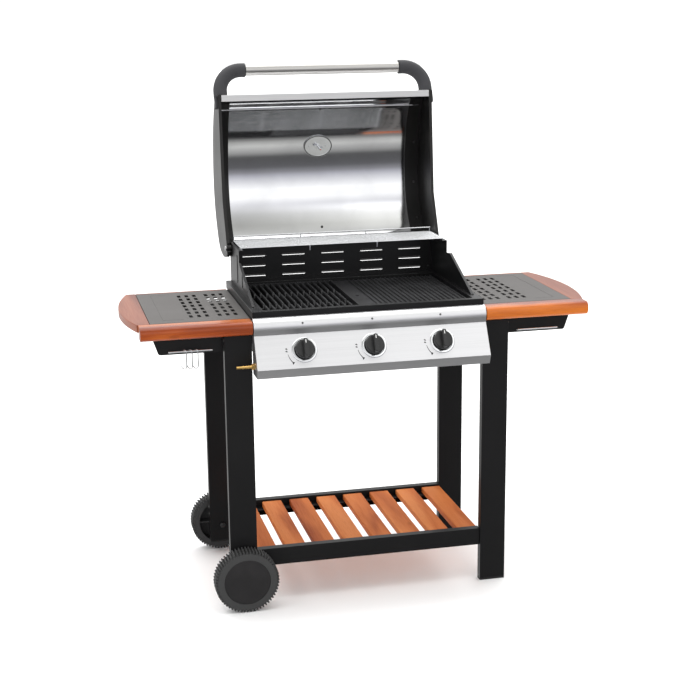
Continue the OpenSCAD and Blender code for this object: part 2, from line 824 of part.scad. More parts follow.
// Moulded elbows between the tube and the lid's front corners
module handle_elbow() {
    foot_x = elbow_end_x + elbow_r;
    bend_z = handle_out - elbow_r;
    collar = 14;
    lip_w = 6.5;
    lip_h = 32;
    foot_z = -1;
    translate([elbow_end_x, 0, bend_z]) rotate([90, 0, 0]) rotate_extrude(angle = 90)
        translate([elbow_r, 0]) circle(elbow_tube_r);
    difference() {
        rod_x(elbow_end_x - collar, elbow_end_x, 0, handle_out, elbow_tube_r);
        rod_x(elbow_end_x - collar - 1, elbow_end_x + 1, 0, handle_out, handle_d / 2);
    }
    translate([foot_x, 0, foot_z]) cylinder(h = bend_z - foot_z, r = elbow_tube_r);
    // Lip that overlaps the end cap
    translate([lid_x + 0.2, -13, -lip_h]) cube([lip_w, 26, lip_h + 4]);
}

// The feet are cut to the bead that they stand on
module handle_elbows() color(iron) at_cart() both_sides() difference() {
    on_lid_wall() handle_elbow();
    along_x(cap_band_in, lid_x + 0.1)
        polygon(concat(shifted(lid_curve, cap_bead + 0.1), reversed(lid_rim)));
}

module on_dial() {
    translate([0, dial_y, dial_z]) rotate([dial_tilt, 0, 0]) children();
}

module thermometer_case() color(steel) at_cart() on_dial() {
    case_r = 34;
    case_h = 15.4;
    glass_z = 11;
    difference() {
        translate([0, 0, 0.4]) cylinder(h = case_h, r = case_r);
        translate([0, 0, 4]) cylinder(h = case_h, r = case_r - 3);
        translate([0, 0, -1]) cylinder(h = 10, r = 1.8);
    }
    // Clear window
    translate([0, 0, glass_z]) cylinder(h = 1.4, r = case_r - 2.9);
}

module thermometer_needle() color("red") at_cart() on_dial() {
    needle_len = 25;
    tail = 7;
    translate([0, 0, -42]) cylinder(h = 51, r = 1.75);
    translate([0, 0, 6.4]) cylinder(h = 2.6, r = 4);
    translate([0, 0, 7]) linear_extrude(1)
        polygon([[-tail, -1.6], [-tail, 1.6], [needle_len, 0.5], [needle_len, -0.5]]);
}

// Inside of the lid: the oval plate, the probe sleeve and its wing nut
module thermometer_plate() color(mirror_steel) at_cart() on_dial() {
    // The flat plate stands off the bowed sheet
    inner = -lid_t - 1.5;
    plate = 1.6;
    difference() {
        union() {
            translate([0, 0, inner - plate]) linear_extrude(plate) polygon(oval(43, 32, 48));
            translate([0, 0, inner - plate - 1.6]) linear_extrude(1.7) difference() {
                polygon(oval(45.5, 35, 48));
                polygon(oval(41.5, 31, 48));
            }
            translate([0, 0, inner - 42]) cylinder(h = 42, r = 3.4);
            translate([0, 0, inner - plate - 8]) cylinder(h = 8, r = 8, $fn = 6);
            for (a = [20, 200]) rotate([0, 0, a]) translate([6, -1.2, inner - plate - 12]) cube([10, 2.4, 11]);
            for (s = [-1, 1]) translate([s * 27, 0, inner - plate - 4]) cylinder(h = 4.2, r = 3);
        }
        translate([0, 0, inner - 50]) cylinder(h = 60, r = 1.8);
    }
}

module hinge_pins() color(steel) at_cart() both_sides() {
    head_r = 8;
    rod_x(side_x - side_t - 8, lid_x + 0.6, hinge_y, hinge_z, pin_r);
    rod_x(lid_x + 0.5, lid_x + 4, hinge_y, hinge_z, head_r);
    translate([side_x - side_t - 6, hinge_y, hinge_z]) rotate([0, 90, 0]) cylinder(h = 5.8, r = 7.5, $fn = 6);
}

// ---------- side shelves ----------

module shelf_plate() {
    skin = 1.5;
    skirt = 24;
    columns = [365.5, 388, 410.5, 446, 468.5, 491];
    rows = 7;
    row_first = 91;
    row_pitch = 46.7;
    emboss_x = 572;
    difference() {
        block(plate_in, plate_out, plate_front, plate_back, shelf_z - skirt, shelf_z);
        block(plate_in + skin, plate_out - skin, plate_front + skin, plate_back - skin,
            shelf_z - skirt - 1, shelf_z - skin);
        translate([0, 0, shelf_z - skin - 1]) linear_extrude(skin + 2)
            for (x = columns, k = [0 : rows - 1])
                translate([x, row_first + k * row_pitch]) soft_rect(slot_w, slot_len, 3);
        // Shallow grooves that frame the plain part of the plate
        block(emboss_x, emboss_x + 1.2, 60, 404, shelf_z - 0.5, shelf_z + 1);
        block(515, emboss_x + 1.2, 404, 405.2, shelf_z - 0.5, shelf_z + 1);
        block(515, emboss_x + 1.2, 58.8, 60, shelf_z - 0.5, shelf_z + 1);
    }
}

module shelf_plate_left() color(plate_grey) at_cart() mirror([1, 0, 0]) shelf_plate();

module shelf_plate_right() color(plate_grey) at_cart() shelf_plate();

// Front rail with a rounded nose
module wood_rail() {
    nose = 16;
    back = plate_front - 2;
    z0 = shelf_z - wood_h;
    outline = concat([[back, z0]], reversed(arc_points(wood_front + nose, z0 + nose, nose, 180, 270, 8)),
        reversed(arc_points(wood_front + nose, shelf_z - nose, nose, 90, 180, 8)), [[back, shelf_z]]);
    along_x(plate_in - 0.4, wood_out) polygon(outline);
}

module wood_rail_left() color(orange_wood) at_cart() mirror([1, 0, 0]) wood_rail();

module wood_rail_right() color(orange_wood) at_cart() wood_rail();

// Planks with a bowed outer edge that finish the outer ends of the shelves
module wood_ends() color(pale_wood) at_cart() both_sides() intersection() {
    block(plate_out + 0.8, 720, plate_front - 1.8, wood_back, shelf_z - plank_t, shelf_z);
    translate([15, 223, 0]) cylinder(h = 1000, r = end_arc_r, $fn = 180);
}

module wood_back_strips() color(pale_wood) at_cart() both_sides()
    block(plate_in, plate_out + 0.6, plate_back + 1.8, wood_back, shelf_z - plank_t, shelf_z);

// Sheet brackets that hang under the shelves and carry them on the legs
module shelf_bracket(y0) {
    x0 = cart_w / 2 + 0.2;
    low = 754;
    corner = 9;
    top = shelf_z - 24.1;
    outline = concat([[x0, low]], arc_points(586, low + corner, corner, 270, 340, 6),
        [[608, 800], [611, top], [x0, top]]);
    difference() {
        along_y(y0, y0 + 1.8) polygon(outline);
        translate([506, 0, rail_wire_z - 3]) along_y(y0 - 1, y0 + 3) soft_rect(118, 4, 1.9);
    }
}

// With a pan under the slots of the shelf plates, cut round the legs
module shelf_brackets() color(black) at_cart() both_sides() {
    pan_z = shelf_z - 31;
    pan_t = 1.2;
    pan_x = 560;
    shelf_bracket(plate_front - 1.9);
    shelf_bracket(plate_back - 2);
    block(plate_in + 1, pan_x, leg_d + 1, cart_d - leg_d - 1, pan_z, pan_z + pan_t);
    block(cart_w / 2 + 0.4, pan_x, plate_front - 1, plate_back - 1, pan_z, pan_z + pan_t);
}

// Wire rails for towels and tools
module towel_rails() color(mirror_steel) at_cart() both_sides() {
    x0 = 447;
    x1 = 565;
    bend = 5;
    back = plate_front - 1.9;
    translate([0, rail_wire_y, rail_wire_z]) {
        rod_x(x0, x1, 0, 0, rail_wire_r);
        for (x = [x0, x1]) {
            translate([x, 0, 0]) sphere(rail_wire_r);
            rod_y(x, 0, back - rail_wire_y, 0, rail_wire_r);
        }
    }
}

// Wire hook that hangs on the left towel rail, turned a little on it
module hook(x, turn) {
    wire_r = 1.5;
    top_r = 6;
    low_r = 11;
    shank = 38;
    lap = 0.5;
    drop = top_r - wire_r - rail_wire_r - 0.3;
    translate([x, rail_wire_y, rail_wire_z - drop]) rotate([0, 0, turn]) mirror([0, 1, 0]) {
        rotate([0, 90, 0]) rotate([0, 0, 90]) rotate_extrude(angle = 200) translate([top_r, 0]) circle(wire_r);
        translate([0, top_r, -shank - lap]) cylinder(h = shank + 2 * lap, r = wire_r + 0.05);
        translate([0, top_r - low_r, -shank]) rotate([0, 90, 0]) rotate([0, 0, -80])
            rotate_extrude(angle = 170) translate([low_r, 0]) circle(wire_r);
    }
}

module hook_outer() color(mirror_steel) at_cart() hook(-522, 38);

module hook_middle() color(mirror_steel) at_cart() hook(-506, 36);

module hook_inner() color(mirror_steel) at_cart() hook(-490, 38);

// ---------- fasteners ----------

module screw_head(r, h) {
    difference() {
        cylinder(h = h, r1 = r, r2 = r - 0.6);
        for (a = [0, 90]) rotate([0, 0, a]) translate([-r * 0.6, -0.4, h - 0.7]) cube([r * 1.2, 0.8, 2]);
    }
}

module frame_screws() color(steel) at_cart() {
    // Along the roll of the control panel
    for (x = [-knob_pitch, 0, knob_pitch]) translate([x, -31.4, 833]) rotate([70, 0, 0]) screw_head(3, 1.6);
    // Leg faces: fixings of the lower rails
    both_sides() for (z = [low_rail_z + 14, low_rail_top - 14])
        translate([cart_w / 2, leg_d / 2, z]) rotate([0, 90, 0]) screw_head(4.5, 2.4);
    both_sides() for (z = [low_rail_z + 14, low_rail_top - 14])
        translate([cart_w / 2, cart_d - leg_d / 2, z]) rotate([0, 90, 0]) screw_head(4.5, 2.4);
    // Leg faces: fixings of the firebox bearers
    bearer_screw_y = 8;
    both_sides() for (y = [bearer_screw_y, cart_d - bearer_screw_y])
        translate([cart_w / 2, y, leg_top - 16]) rotate([0, 90, 0]) screw_head(4.5, 2.4);
    // Corners of the back panel
    both_sides() for (z = [rim_top + 14, side_plate_top - 14])
        translate([side_x - 12, rim_back - 4, z]) rotate([90, 0, 0]) screw_head(3.2, 1.8);
}

module lid_screws() color(steel) at_cart() {
    head_r = 4.2;
    head_h = 2.4;
    // Through the caps' bands
    both_sides() for (i = [17, 25, 32]) on_lid_chord(i)
        translate([316, 0, -lid_t - cap_band - 0.1]) rotate([180, 0, 0]) screw_head(head_r, head_h);
    // On the middle of the sheet, near its two ends
    for (i = [10, 33]) on_lid_chord(i) translate([0, 0, -lid_t]) rotate([180, 0, 0]) screw_head(head_r, head_h);
}

leg_front_left();
leg_front_right();
leg_back_left();
leg_back_right();
leg_plugs();
shelf_rail_front();
shelf_rail_back();
shelf_slats();
firebox_bearers();
wheel_bolts();
wheel_front();
wheel_back();
hub_cap_front();
hub_cap_back();
firebox_tub();
firebox_rim();
side_plate_left();
side_plate_right();
back_panel();
control_panel();
burners();
flame_tamers();
igniters();
manifold();
gas_taps();
hose_tail();
knob_bezels();
knob_left();
knob_middle();
knob_right();
tap_plug_left();
tap_plug_middle();
tap_plug_right();
drip_tray();
grate();
griddle();
warming_rack();
lid_sheet();
lid_cap_left();
lid_cap_right();
lid_trim();
handle_tube();
handle_elbows();
thermometer_case();
thermometer_needle();
thermometer_plate();
hinge_pins();
shelf_plate_left();
shelf_plate_right();
wood_rail_left();
wood_rail_right();
wood_ends();
wood_back_strips();
shelf_brackets();
towel_rails();
hook_outer();
hook_middle();
hook_inner();
frame_screws();
lid_screws();
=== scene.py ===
"""Gas barbecue on a trolley: finished looks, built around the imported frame.

Metres throughout, in the frame's own axes: +Z up, the knobs face -Y, the wheels are on the -X side.
"""

import json
import logging
import math
from dataclasses import dataclass
from enum import Enum
from typing import Optional, Sequence, Union

import bmesh
import bpy
from mathutils import Matrix, Vector

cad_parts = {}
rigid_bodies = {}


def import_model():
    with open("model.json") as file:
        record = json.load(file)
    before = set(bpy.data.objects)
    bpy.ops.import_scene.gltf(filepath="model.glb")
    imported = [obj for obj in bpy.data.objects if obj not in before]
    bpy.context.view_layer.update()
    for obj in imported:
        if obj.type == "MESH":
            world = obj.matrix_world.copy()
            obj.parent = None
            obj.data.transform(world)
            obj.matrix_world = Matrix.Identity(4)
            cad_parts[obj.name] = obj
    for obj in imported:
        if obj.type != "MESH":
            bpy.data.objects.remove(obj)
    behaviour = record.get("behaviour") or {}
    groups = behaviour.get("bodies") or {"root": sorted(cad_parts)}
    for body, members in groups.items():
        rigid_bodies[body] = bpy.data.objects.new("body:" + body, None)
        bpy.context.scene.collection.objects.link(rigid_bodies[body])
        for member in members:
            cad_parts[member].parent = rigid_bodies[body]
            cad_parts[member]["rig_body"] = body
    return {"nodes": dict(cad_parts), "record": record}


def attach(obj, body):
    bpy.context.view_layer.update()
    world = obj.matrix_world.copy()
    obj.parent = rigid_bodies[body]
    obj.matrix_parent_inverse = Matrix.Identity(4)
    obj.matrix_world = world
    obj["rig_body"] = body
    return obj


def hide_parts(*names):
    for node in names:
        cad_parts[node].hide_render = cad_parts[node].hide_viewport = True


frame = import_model()

MM = 0.001
log = logging.getLogger("barbecue")

Colour = tuple[float, float, float]
Point = tuple[float, float, float]


# ---------- shader graph ----------


class Axis(Enum):
    """Direction in which a grain or a brushing runs."""

    X = 0
    Y = 1
    Z = 2

    def stretched(self, across: float, along: float) -> Point:
        """Texture scale per metre: one value across the grain and one along it."""
        return tuple(along if i == self.value else across for i in range(3))


class Wire:
    """A shader socket that takes part in Python arithmetic."""

    def __init__(self, graph: "Graph", socket: bpy.types.NodeSocket) -> None:
        """Keeps the socket and the graph that it belongs to."""
        self.graph = graph
        self.socket = socket

    def _math(self, operation: str, first: "Value", second: "Value" = 0.0) -> "Wire":
        """Adds one Math node.

        Args:
            operation: The Math node's operation.
            first: Its first value or link.
            second: Its second value or link.

        Returns:
            The node's result.
        """
        return self.graph.node("ShaderNodeMath", {"operation": operation}, {0: first, 1: second})

    def __add__(self, other: "Value") -> "Wire":
        """Sum."""
        return self._math("ADD", self, other)

    def __radd__(self, other: "Value") -> "Wire":
        """Sum, number first."""
        return self._math("ADD", other, self)

    def __sub__(self, other: "Value") -> "Wire":
        """Difference."""
        return self._math("SUBTRACT", self, other)

    def __rsub__(self, other: "Value") -> "Wire":
        """Difference, number first."""
        return self._math("SUBTRACT", other, self)

    def __mul__(self, other: "Value") -> "Wire":
        """Product."""
        return self._math("MULTIPLY", self, other)

    def __rmul__(self, other: "Value") -> "Wire":
        """Product, number first."""
        return self._math("MULTIPLY", other, self)

    def wave(self) -> "Wire":
        """Sine, moved to the range 0 to 1."""
        return self._math("SINE", self) * 0.5 + 0.5

    def step(self, low: float, high: float) -> "Wire":
        """Smooth step.

        Args:
            low: Value at which the step is 0.
            high: Value at which it is 1; it may lie below low.

        Returns:
            The step, from 0 to 1.
        """
        return self.graph.node(
            "ShaderNodeMapRange",
            {"interpolation_type": "SMOOTHSTEP"},
            {"Value": self, "From Min": low, "From Max": high},
        )


Value = Union[Wire, float, Sequence[float]]


class Graph:
    """The node tree of one material or of the surroundings."""

    def __init__(self, tree: bpy.types.NodeTree) -> None:
        """Keeps the tree that the nodes are added to."""
        self.tree = tree

    def node(
        self,
        kind: str,
        settings: Optional[dict] = None,
        inputs: Optional[dict] = None,
        output: Union[int, str] = 0,
    ) -> Wire:
        """Adds one node.

        Args:
            kind: The node's type.
            settings: Its properties; "stops" are a colour ramp's positions and colours.
            inputs: Value or link of each socket, by name or number.
            output: Which output to hand back.

        Returns:
            The chosen output.
        """
        made = self.tree.nodes.new(kind)
        for key, value in (settings or {}).items():
            if key == "stops":
                self._set_stops(made.color_ramp, value)
            else:
                setattr(made, key, value)
        for key, value in (inputs or {}).items():
            if isinstance(value, Wire):
                self.tree.links.new(value.socket, made.inputs[key])
            else:
                made.inputs[key].default_value = value
        return Wire(self, made.outputs[output])

    @staticmethod
    def _set_stops(ramp: bpy.types.ColorRamp, stops: Sequence[tuple[float, Colour]]) -> None:
        """Gives a colour ramp its stops.

        Args:
            ramp: The colour ramp.
            stops: Position and colour of each stop, in order.
        """
        while len(ramp.elements) < len(stops):
            ramp.elements.new(1.0)
        for element, (position, colour) in zip(ramp.elements, stops):
            element.position = position
            element.color = (*colour, 1.0)

    def place(self) -> Wire:
        """Where a point of the surface lies on its piece, in metres."""
        return self.node("ShaderNodeTexCoord", output="Object")

    def scaled(self, place: Wire, scale: Sequence[float]) -> Wire:
        """A place times a scale per axis."""
        return self.node("ShaderNodeVectorMath", {"operation": "MULTIPLY"}, {0: place, 1: scale})

    def shifted(self, place: Wire, amount: Wire, way: Point) -> Wire:
        """A place moved along way by an amount."""
        step = self.node("ShaderNodeVectorMath", {"operation": "SCALE"}, {0: way, "Scale": amount})
        return self.node("ShaderNodeVectorMath", {"operation": "ADD"}, {0: place, 1: step})

    def parts(self, place: Wire) -> tuple[Wire, Wire, Wire]:
        """The three coordinates of a place."""
        split = self.node("ShaderNodeSeparateXYZ", inputs={0: place}).socket.node
        return tuple(Wire(self, split.outputs[i]) for i in range(3))

    def noise(self, place: Wire, scale: float, detail: float = 2.0, warp: float = 0.0) -> Wire:
        """Cloudy noise from 0 to 1.

        Args:
            place: Where the noise is read.
            scale: Number of clouds per metre.
            detail: Number of finer layers.
            warp: How far the noise is bent by itself.

        Returns:
            The noise.
        """
        return self.node(
            "ShaderNodeTexNoise",
            inputs={"Vector": place, "Scale": scale, "Detail": detail, "Distortion": warp},
        )

    def cells(self, place: Wire, scale: float) -> Wire:
        """Distance to the nearest of many scattered points."""
        return self.node("ShaderNodeTexVoronoi", inputs={"Vector": place, "Scale": scale})

    def tag(self, name: str) -> Wire:
        """A number stored on the mesh."""
        return self.node("ShaderNodeAttribute", {"attribute_name": name}, output="Fac")

    def mix(self, share: Value, first: Union[Wire, Colour], second: Union[Wire, Colour]) -> Wire:
        """Colour between two colours.

        Args:
            share: 0 for the first colour and 1 for the second.
            first: A colour or a link.
            second: A colour or a link.

        Returns:
            The mixed colour.
        """
        ends = [c if isinstance(c, Wire) else (*c, 1.0) for c in (first, second)]
        return self.node(
            "ShaderNodeMix", {"data_type": "RGBA"}, {0: share, 6: ends[0], 7: ends[1]}, output=2
        )

    def ramp(self, value: Wire, stops: Sequence[tuple[float, Colour]]) -> Wire:
        """Colour picked from a ramp."""
        return self.node("ShaderNodeValToRGB", {"stops": stops}, {0: value})

    def bump(self, height: Wire, depth: float, strength: float = 1.0) -> Wire:
        """Normal of a surface with fine relief.

        Args:
            height: Relief from 0 to 1.
            depth: Height of the relief in metres.
            strength: Share of the relief that shows.

        Returns:
            The normal.
        """
        return self.node(
            "ShaderNodeBump", inputs={"Strength": strength, "Distance": depth, "Height": height}
        )

    def surface(self, **sockets: Value) -> None:
        """Ends the tree in a Principled surface.

        Args:
            sockets: Value or link of each socket, with underscores for the spaces in its name.
        """
        named = {key.replace("_", " "): value for key, value in sockets.items()}
        self.close("ShaderNodeOutputMaterial", self.node("ShaderNodeBsdfPrincipled", inputs=named))

    def close(self, kind: str, shader: Wire) -> None:
        """Links a shader to an output node of the given type."""
        out = self.tree.nodes.new(kind)
        self.tree.links.new(shader.socket, out.inputs["Surface"])


# ---------- finishes ----------


def darker(colour: Colour, share: float) -> Colour:
    """A colour times a share of its brightness."""
    return tuple(share * c for c in colour)


@dataclass(frozen=True)
class Finish:
    """A surface finish; pieces with the same finish share one material.

    Scales are in features per metre and depths in metres.
    """

    name: str

    def shade(self, graph: Graph) -> None:
        """Builds the finish's nodes in a graph."""
        raise NotImplementedError

    def material(self) -> bpy.types.Material:
        """Hands out the finish's material, and makes it when it is first asked for.

        Returns:
            The one material of this finish.
        """
        known = bpy.data.materials.get(self.name)
        if known is not None:
            return known
        made = bpy.data.materials.new(self.name)
        made.use_nodes = True
        made.node_tree.nodes.clear()
        self.shade(Graph(made.node_tree))
        return made


@dataclass(frozen=True)
class PowderCoat(Finish):
    """Baked paint with a fine orange-peel texture and a little dust."""

    colour: Colour
    dust: Colour
    roughness: float = 0.42
    specular: float = 0.3
    peel_scale: float = 900.0
    depth: float = 0.00004
    cloud_scale: float = 7.0
    speck_scale: float = 420.0

    def shade(self, graph: Graph) -> None:
        """Builds the finish's nodes.

        Args:
            graph: The empty node tree of the finish's material.
        """
        place = graph.place()
        peel = graph.noise(place, self.peel_scale, 3.0)
        cloud = graph.noise(place, self.cloud_scale, 5.0)
        speck = graph.cells(place, self.speck_scale).step(0.16, 0.08)
        shade = (cloud - 0.45) * 0.9 + speck * 0.25
        graph.surface(
            Base_Color=graph.mix(shade.step(0.0, 1.0), self.colour, self.dust),
            Roughness=self.roughness + (cloud - 0.5) * 0.16 + (peel - 0.5) * 0.1,
            Specular_IOR_Level=self.specular,
            Normal=graph.bump(peel, self.depth),
        )


@dataclass(frozen=True)
class Moulded(Finish):
    """Moulded plastic with a fine spark-eroded texture."""

    colour: Colour
    rub: Colour
    roughness: float = 0.5
    specular: float = 0.35
    texture_scale: float = 1700.0
    depth: float = 0.00003
    cloud_scale: float = 14.0

    def shade(self, graph: Graph) -> None:
        """Builds the finish's nodes.

        Args:
            graph: The empty node tree of the finish's material.
        """
        place = graph.place()
        fine = graph.noise(place, self.texture_scale)
        cloud = graph.noise(place, self.cloud_scale, 4.0)
        graph.surface(
            Base_Color=graph.mix(cloud.step(0.35, 0.85), self.colour, self.rub),
            Roughness=self.roughness + (cloud - 0.5) * 0.14 + (fine - 0.5) * 0.12,
            Specular_IOR_Level=self.specular,
            Normal=graph.bump(fine, self.depth),
        )


@dataclass(frozen=True)
class Brushed(Finish):
    """Steel brushed in one direction."""

    colour: Colour
    along: Axis
    roughness: float = 0.3
    streak: float = 0.1
    hair_scale: float = 2600.0
    band_scale: float = 160.0
    depth: float = 0.000012
    smear: float = 0.08

    def shade(self, graph: Graph) -> None:
        """Builds the finish's nodes.

        Args:
            graph: The empty node tree of the finish's material.
        """
        place = graph.place()
        hair = graph.noise(graph.scaled(place, self.along.stretched(self.hair_scale, 9.0)), 1.0, 3.0)
        band = graph.noise(graph.scaled(place, self.along.stretched(self.band_scale, 1.5)), 1.0)
        cloud = graph.noise(place, 5.0, 3.0)
        tone = (hair - 0.5) * 0.5 + (band - 0.5) * 0.3
        graph.surface(
            Base_Color=graph.mix((tone + 0.35).step(0.0, 0.5), darker(self.colour, 0.84), self.colour),
            Metallic=1.0,
            Roughness=self.roughness + (hair - 0.5) * self.streak + (cloud - 0.5) * self.smear,
            Normal=graph.bump(hair, self.depth),
        )


@dataclass(frozen=True)
class Polished(Finish):
    """Bright sheet or plating with faint wipe marks."""

    colour: Colour
    roughness: float = 0.12
    haze: float = 0.1
    ripple_depth: float = 0.0
    ripple_scale: float = 5.0

    def shade(self, graph: Graph) -> None:
        """Builds the finish's nodes.

        Args:
            graph: The empty node tree of the finish's material.
        """
        place = graph.place()
        cloud = graph.noise(place, 9.0, 5.0, 0.6)
        wipe = graph.noise(graph.scaled(place, Axis.X.stretched(900.0, 40.0)), 1.0)
        sockets: dict[str, Value] = {
            "Base_Color": graph.mix(cloud.step(0.3, 0.8), self.colour, darker(self.colour, 0.9)),
            "Metallic": 1.0,
            "Roughness": self.roughness + (cloud - 0.5) * self.haze + (wipe - 0.5) * 0.05,
        }
        if self.ripple_depth > 0.0:
            sockets["Normal"] = graph.bump(graph.noise(place, self.ripple_scale, 1.0), self.ripple_depth)
        graph.surface(**sockets)


@dataclass(frozen=True)
class Timber(Finish):
    """Varnished or oiled wood with growth rings, fibres and a few knots."""

    pale: Colour
    middle: Colour
    deep: Colour
    along: Axis
    gloss: float
    varnish: float
    knots: float
    specular: float
    ring_scale: float = 42.0
    ring_contrast: float = 0.5
    fibre_scale: float = 900.0
    pore_scale: float = 1500.0
    knot_scale: float = 9.0
    depth: float = 0.00006
    # How far a plank's number moves its grain, in metres
    plank_shift: Point = (13.7, 7.9, 5.3)

    def shade(self, graph: Graph) -> None:
        """Builds the finish's nodes.

        Args:
            graph: The empty node tree of the finish's material.
        """
        plank = graph.tag("plank")
        place = graph.shifted(graph.place(), plank, self.plank_shift)
        bend = graph.noise(graph.scaled(place, self.along.stretched(9.0, 1.6)), 1.0, 3.0, 0.4)
        x, y, z = graph.parts(graph.scaled(place, self.along.stretched(1.0, 0.06)))
        ring = ((x + y * 0.8 + z * 0.6) * self.ring_scale + bend * 9.0).wave()
        fibre = graph.noise(graph.scaled(place, self.along.stretched(self.fibre_scale, 14.0)), 1.0, 3.0)
        pore = graph.noise(graph.scaled(place, self.along.stretched(self.pore_scale, 45.0)), 1.0, 1.0)
        knot_place = graph.scaled(place, self.along.stretched(1.0, 0.45))
        knot = graph.cells(knot_place, self.knot_scale).step(0.13, 0.05) * self.knots
        grain = (ring - 0.5) * self.ring_contrast + (fibre - 0.5) * 0.5
        grain = grain + (bend - 0.5) * 0.7 + (plank - 0.5) * 0.4 + 0.5
        tint = graph.ramp(grain, [(0.12, self.pale), (0.5, self.middle), (0.9, self.deep)])
        stain = pore.step(0.62, 0.72) * 0.35
        graph.surface(
            Base_Color=graph.mix(knot, graph.mix(stain, tint, self.deep), darker(self.deep, 0.32)),
            Roughness=self.gloss + (fibre - 0.5) * 0.16,
            Coat_Weight=self.varnish,
            Coat_Roughness=0.12,
            Specular_IOR_Level=self.specular,
            Normal=graph.bump(fibre * 0.6 + pore * 0.4, self.depth),
        )


@dataclass(frozen=True)
class IronEnamel(Finish):
    """Matt enamel over cast iron: pitted, with dull high spots."""

    colour: Colour
    worn: Colour
    roughness: float = 0.5
    sand_scale: float = 700.0
    pit_scale: float = 260.0
    depth: float = 0.00012

    def shade(self, graph: Graph) -> None:
        """Builds the finish's nodes.

        Args:
            graph: The empty node tree of the finish's material.
        """
        place = graph.place()
        sand = graph.noise(place, self.sand_scale, 4.0)
        pits = graph.cells(place, self.pit_scale).step(0.3, 0.1)
        cloud = graph.noise(place, 12.0, 5.0)
        graph.surface(
            Base_Color=graph.mix(cloud.step(0.4, 0.85), self.colour, self.worn),
            Roughness=self.roughness + (cloud - 0.5) * 0.2 + (sand - 0.5) * 0.15,
            Specular_IOR_Level=0.4,
            Normal=graph.bump(sand * 0.7 - pits * 0.3, self.depth),
        )


@dataclass(frozen=True)
class Turned(Finish):
    """Plain metal with machining marks and light tarnish."""

    colour: Colour
    tarnish: Colour
    roughness: float = 0.3
    cloud_scale: float = 45.0
    mark_scale: float = 2400.0
    depth: float = 0.00001

    def shade(self, graph: Graph) -> None:
        """Builds the finish's nodes.

        Args:
            graph: The empty node tree of the finish's material.
        """
        place = graph.place()
        cloud = graph.noise(place, self.cloud_scale, 5.0)
        fine = graph.noise(place, self.mark_scale)
        graph.surface(
            Base_Color=graph.mix(cloud.step(0.42, 0.8), self.colour, self.tarnish),
            Metallic=1.0,
            Roughness=self.roughness + (cloud - 0.5) * 0.2 + (fine - 0.5) * 0.1,
            Normal=graph.bump(fine, self.depth),
        )


@dataclass(frozen=True)
class Glazed(Finish):
    """Glazed ceramic or enamelled print: smooth, faintly mottled."""

    colour: Colour
    roughness: float = 0.25

    def shade(self, graph: Graph) -> None:
        """Builds the finish's nodes.

        Args:
            graph: The empty node tree of the finish's material.
        """
        cloud = graph.noise(graph.place(), 60.0, 4.0)
        graph.surface(
            Base_Color=graph.mix(cloud, self.colour, darker(self.colour, 0.88)),
            Roughness=self.roughness + (cloud - 0.5) * 0.1,
        )


BLACK_STEEL = PowderCoat("black_powder_coat", (0.0062, 0.0060, 0.0064), (0.015, 0.0145, 0.0145), 0.42, 0.24)
FIREBOX_BLACK = PowderCoat("firebox_enamel", (0.0055, 0.0055, 0.0060), (0.013, 0.013, 0.014), 0.36, 0.28)
CAP_BLACK = PowderCoat("end_cap_enamel", (0.008, 0.0075, 0.0073), (0.018, 0.017, 0.016), 0.38, 0.34)
SHELF_GREY = PowderCoat(
    "warm_grey_powder_coat", (0.102, 0.096, 0.092), (0.128, 0.12, 0.114), 0.5, 0.22, peel_scale=1100.0
)
PLUG_BLACK = Moulded("black_plug_plastic", (0.010, 0.010, 0.010), (0.02, 0.02, 0.02), 0.6)
WHEEL_GREY = Moulded("wheel_plastic", (0.0145, 0.0145, 0.016), (0.027, 0.027, 0.030), 0.6)
HUB_GREY = Moulded("hub_cap_plastic", (0.013, 0.012, 0.0125), (0.022, 0.020, 0.021), 0.5)
KNOB_BLACK = Moulded("knob_plastic", (0.009, 0.009, 0.010), (0.02, 0.02, 0.022), 0.3, 0.42)
ELBOW_GREY = Moulded("elbow_plastic", (0.014, 0.0143, 0.0165), (0.026, 0.027, 0.030), 0.42, 0.36)
PANEL_STEEL = Brushed("brushed_panel_steel", (0.74, 0.74, 0.75), Axis.X, 0.40, 0.08)
TUBE_STEEL = Brushed("brushed_tube_steel", (0.52, 0.51, 0.49), Axis.X, 0.34, 0.12, 1800.0)
TRIM_STEEL = Brushed("brushed_trim_steel", (0.86, 0.86, 0.86), Axis.X, 0.55, 0.08, 1800.0)
LID_STEEL = Polished("polished_lid_sheet", (0.75, 0.755, 0.77), 0.085, 0.05, ripple_depth=0.0003)
BRIGHT_CHROME = Polished("bright_chrome", (0.70, 0.71, 0.72), 0.1, 0.06)
DULL_ZINC = Turned("zinc_plate", (0.52, 0.52, 0.53), (0.38, 0.37, 0.36), 0.35)
DARK_SCREW = Turned("blackened_screw", (0.10, 0.10, 0.10), (0.05, 0.05, 0.05), 0.4)
SHEET_ZINC = Turned("aluminised_sheet", (0.55, 0.55, 0.54), (0.42, 0.41, 0.39), 0.42)
TAP_CASTING = Turned("tap_casting", (0.50, 0.50, 0.51), (0.36, 0.36, 0.36), 0.45)
TURNED_BRASS = Turned("turned_brass", (0.72, 0.47, 0.16), (0.50, 0.30, 0.09), 0.27)
SPARK_CERAMIC = Glazed("spark_ceramic", (0.78, 0.77, 0.72))
PRINT_BLACK = Glazed("panel_print", (0.03, 0.03, 0.032), 0.5)
PRINT_WHITE = Glazed("pointer_paint", (0.78, 0.78, 0.76), 0.45)
NEEDLE_RED = Glazed("needle_paint", (0.62, 0.03, 0.02), 0.35)
IRON = IronEnamel("matt_iron_enamel", (0.011, 0.011, 0.012), (0.027, 0.027, 0.029))
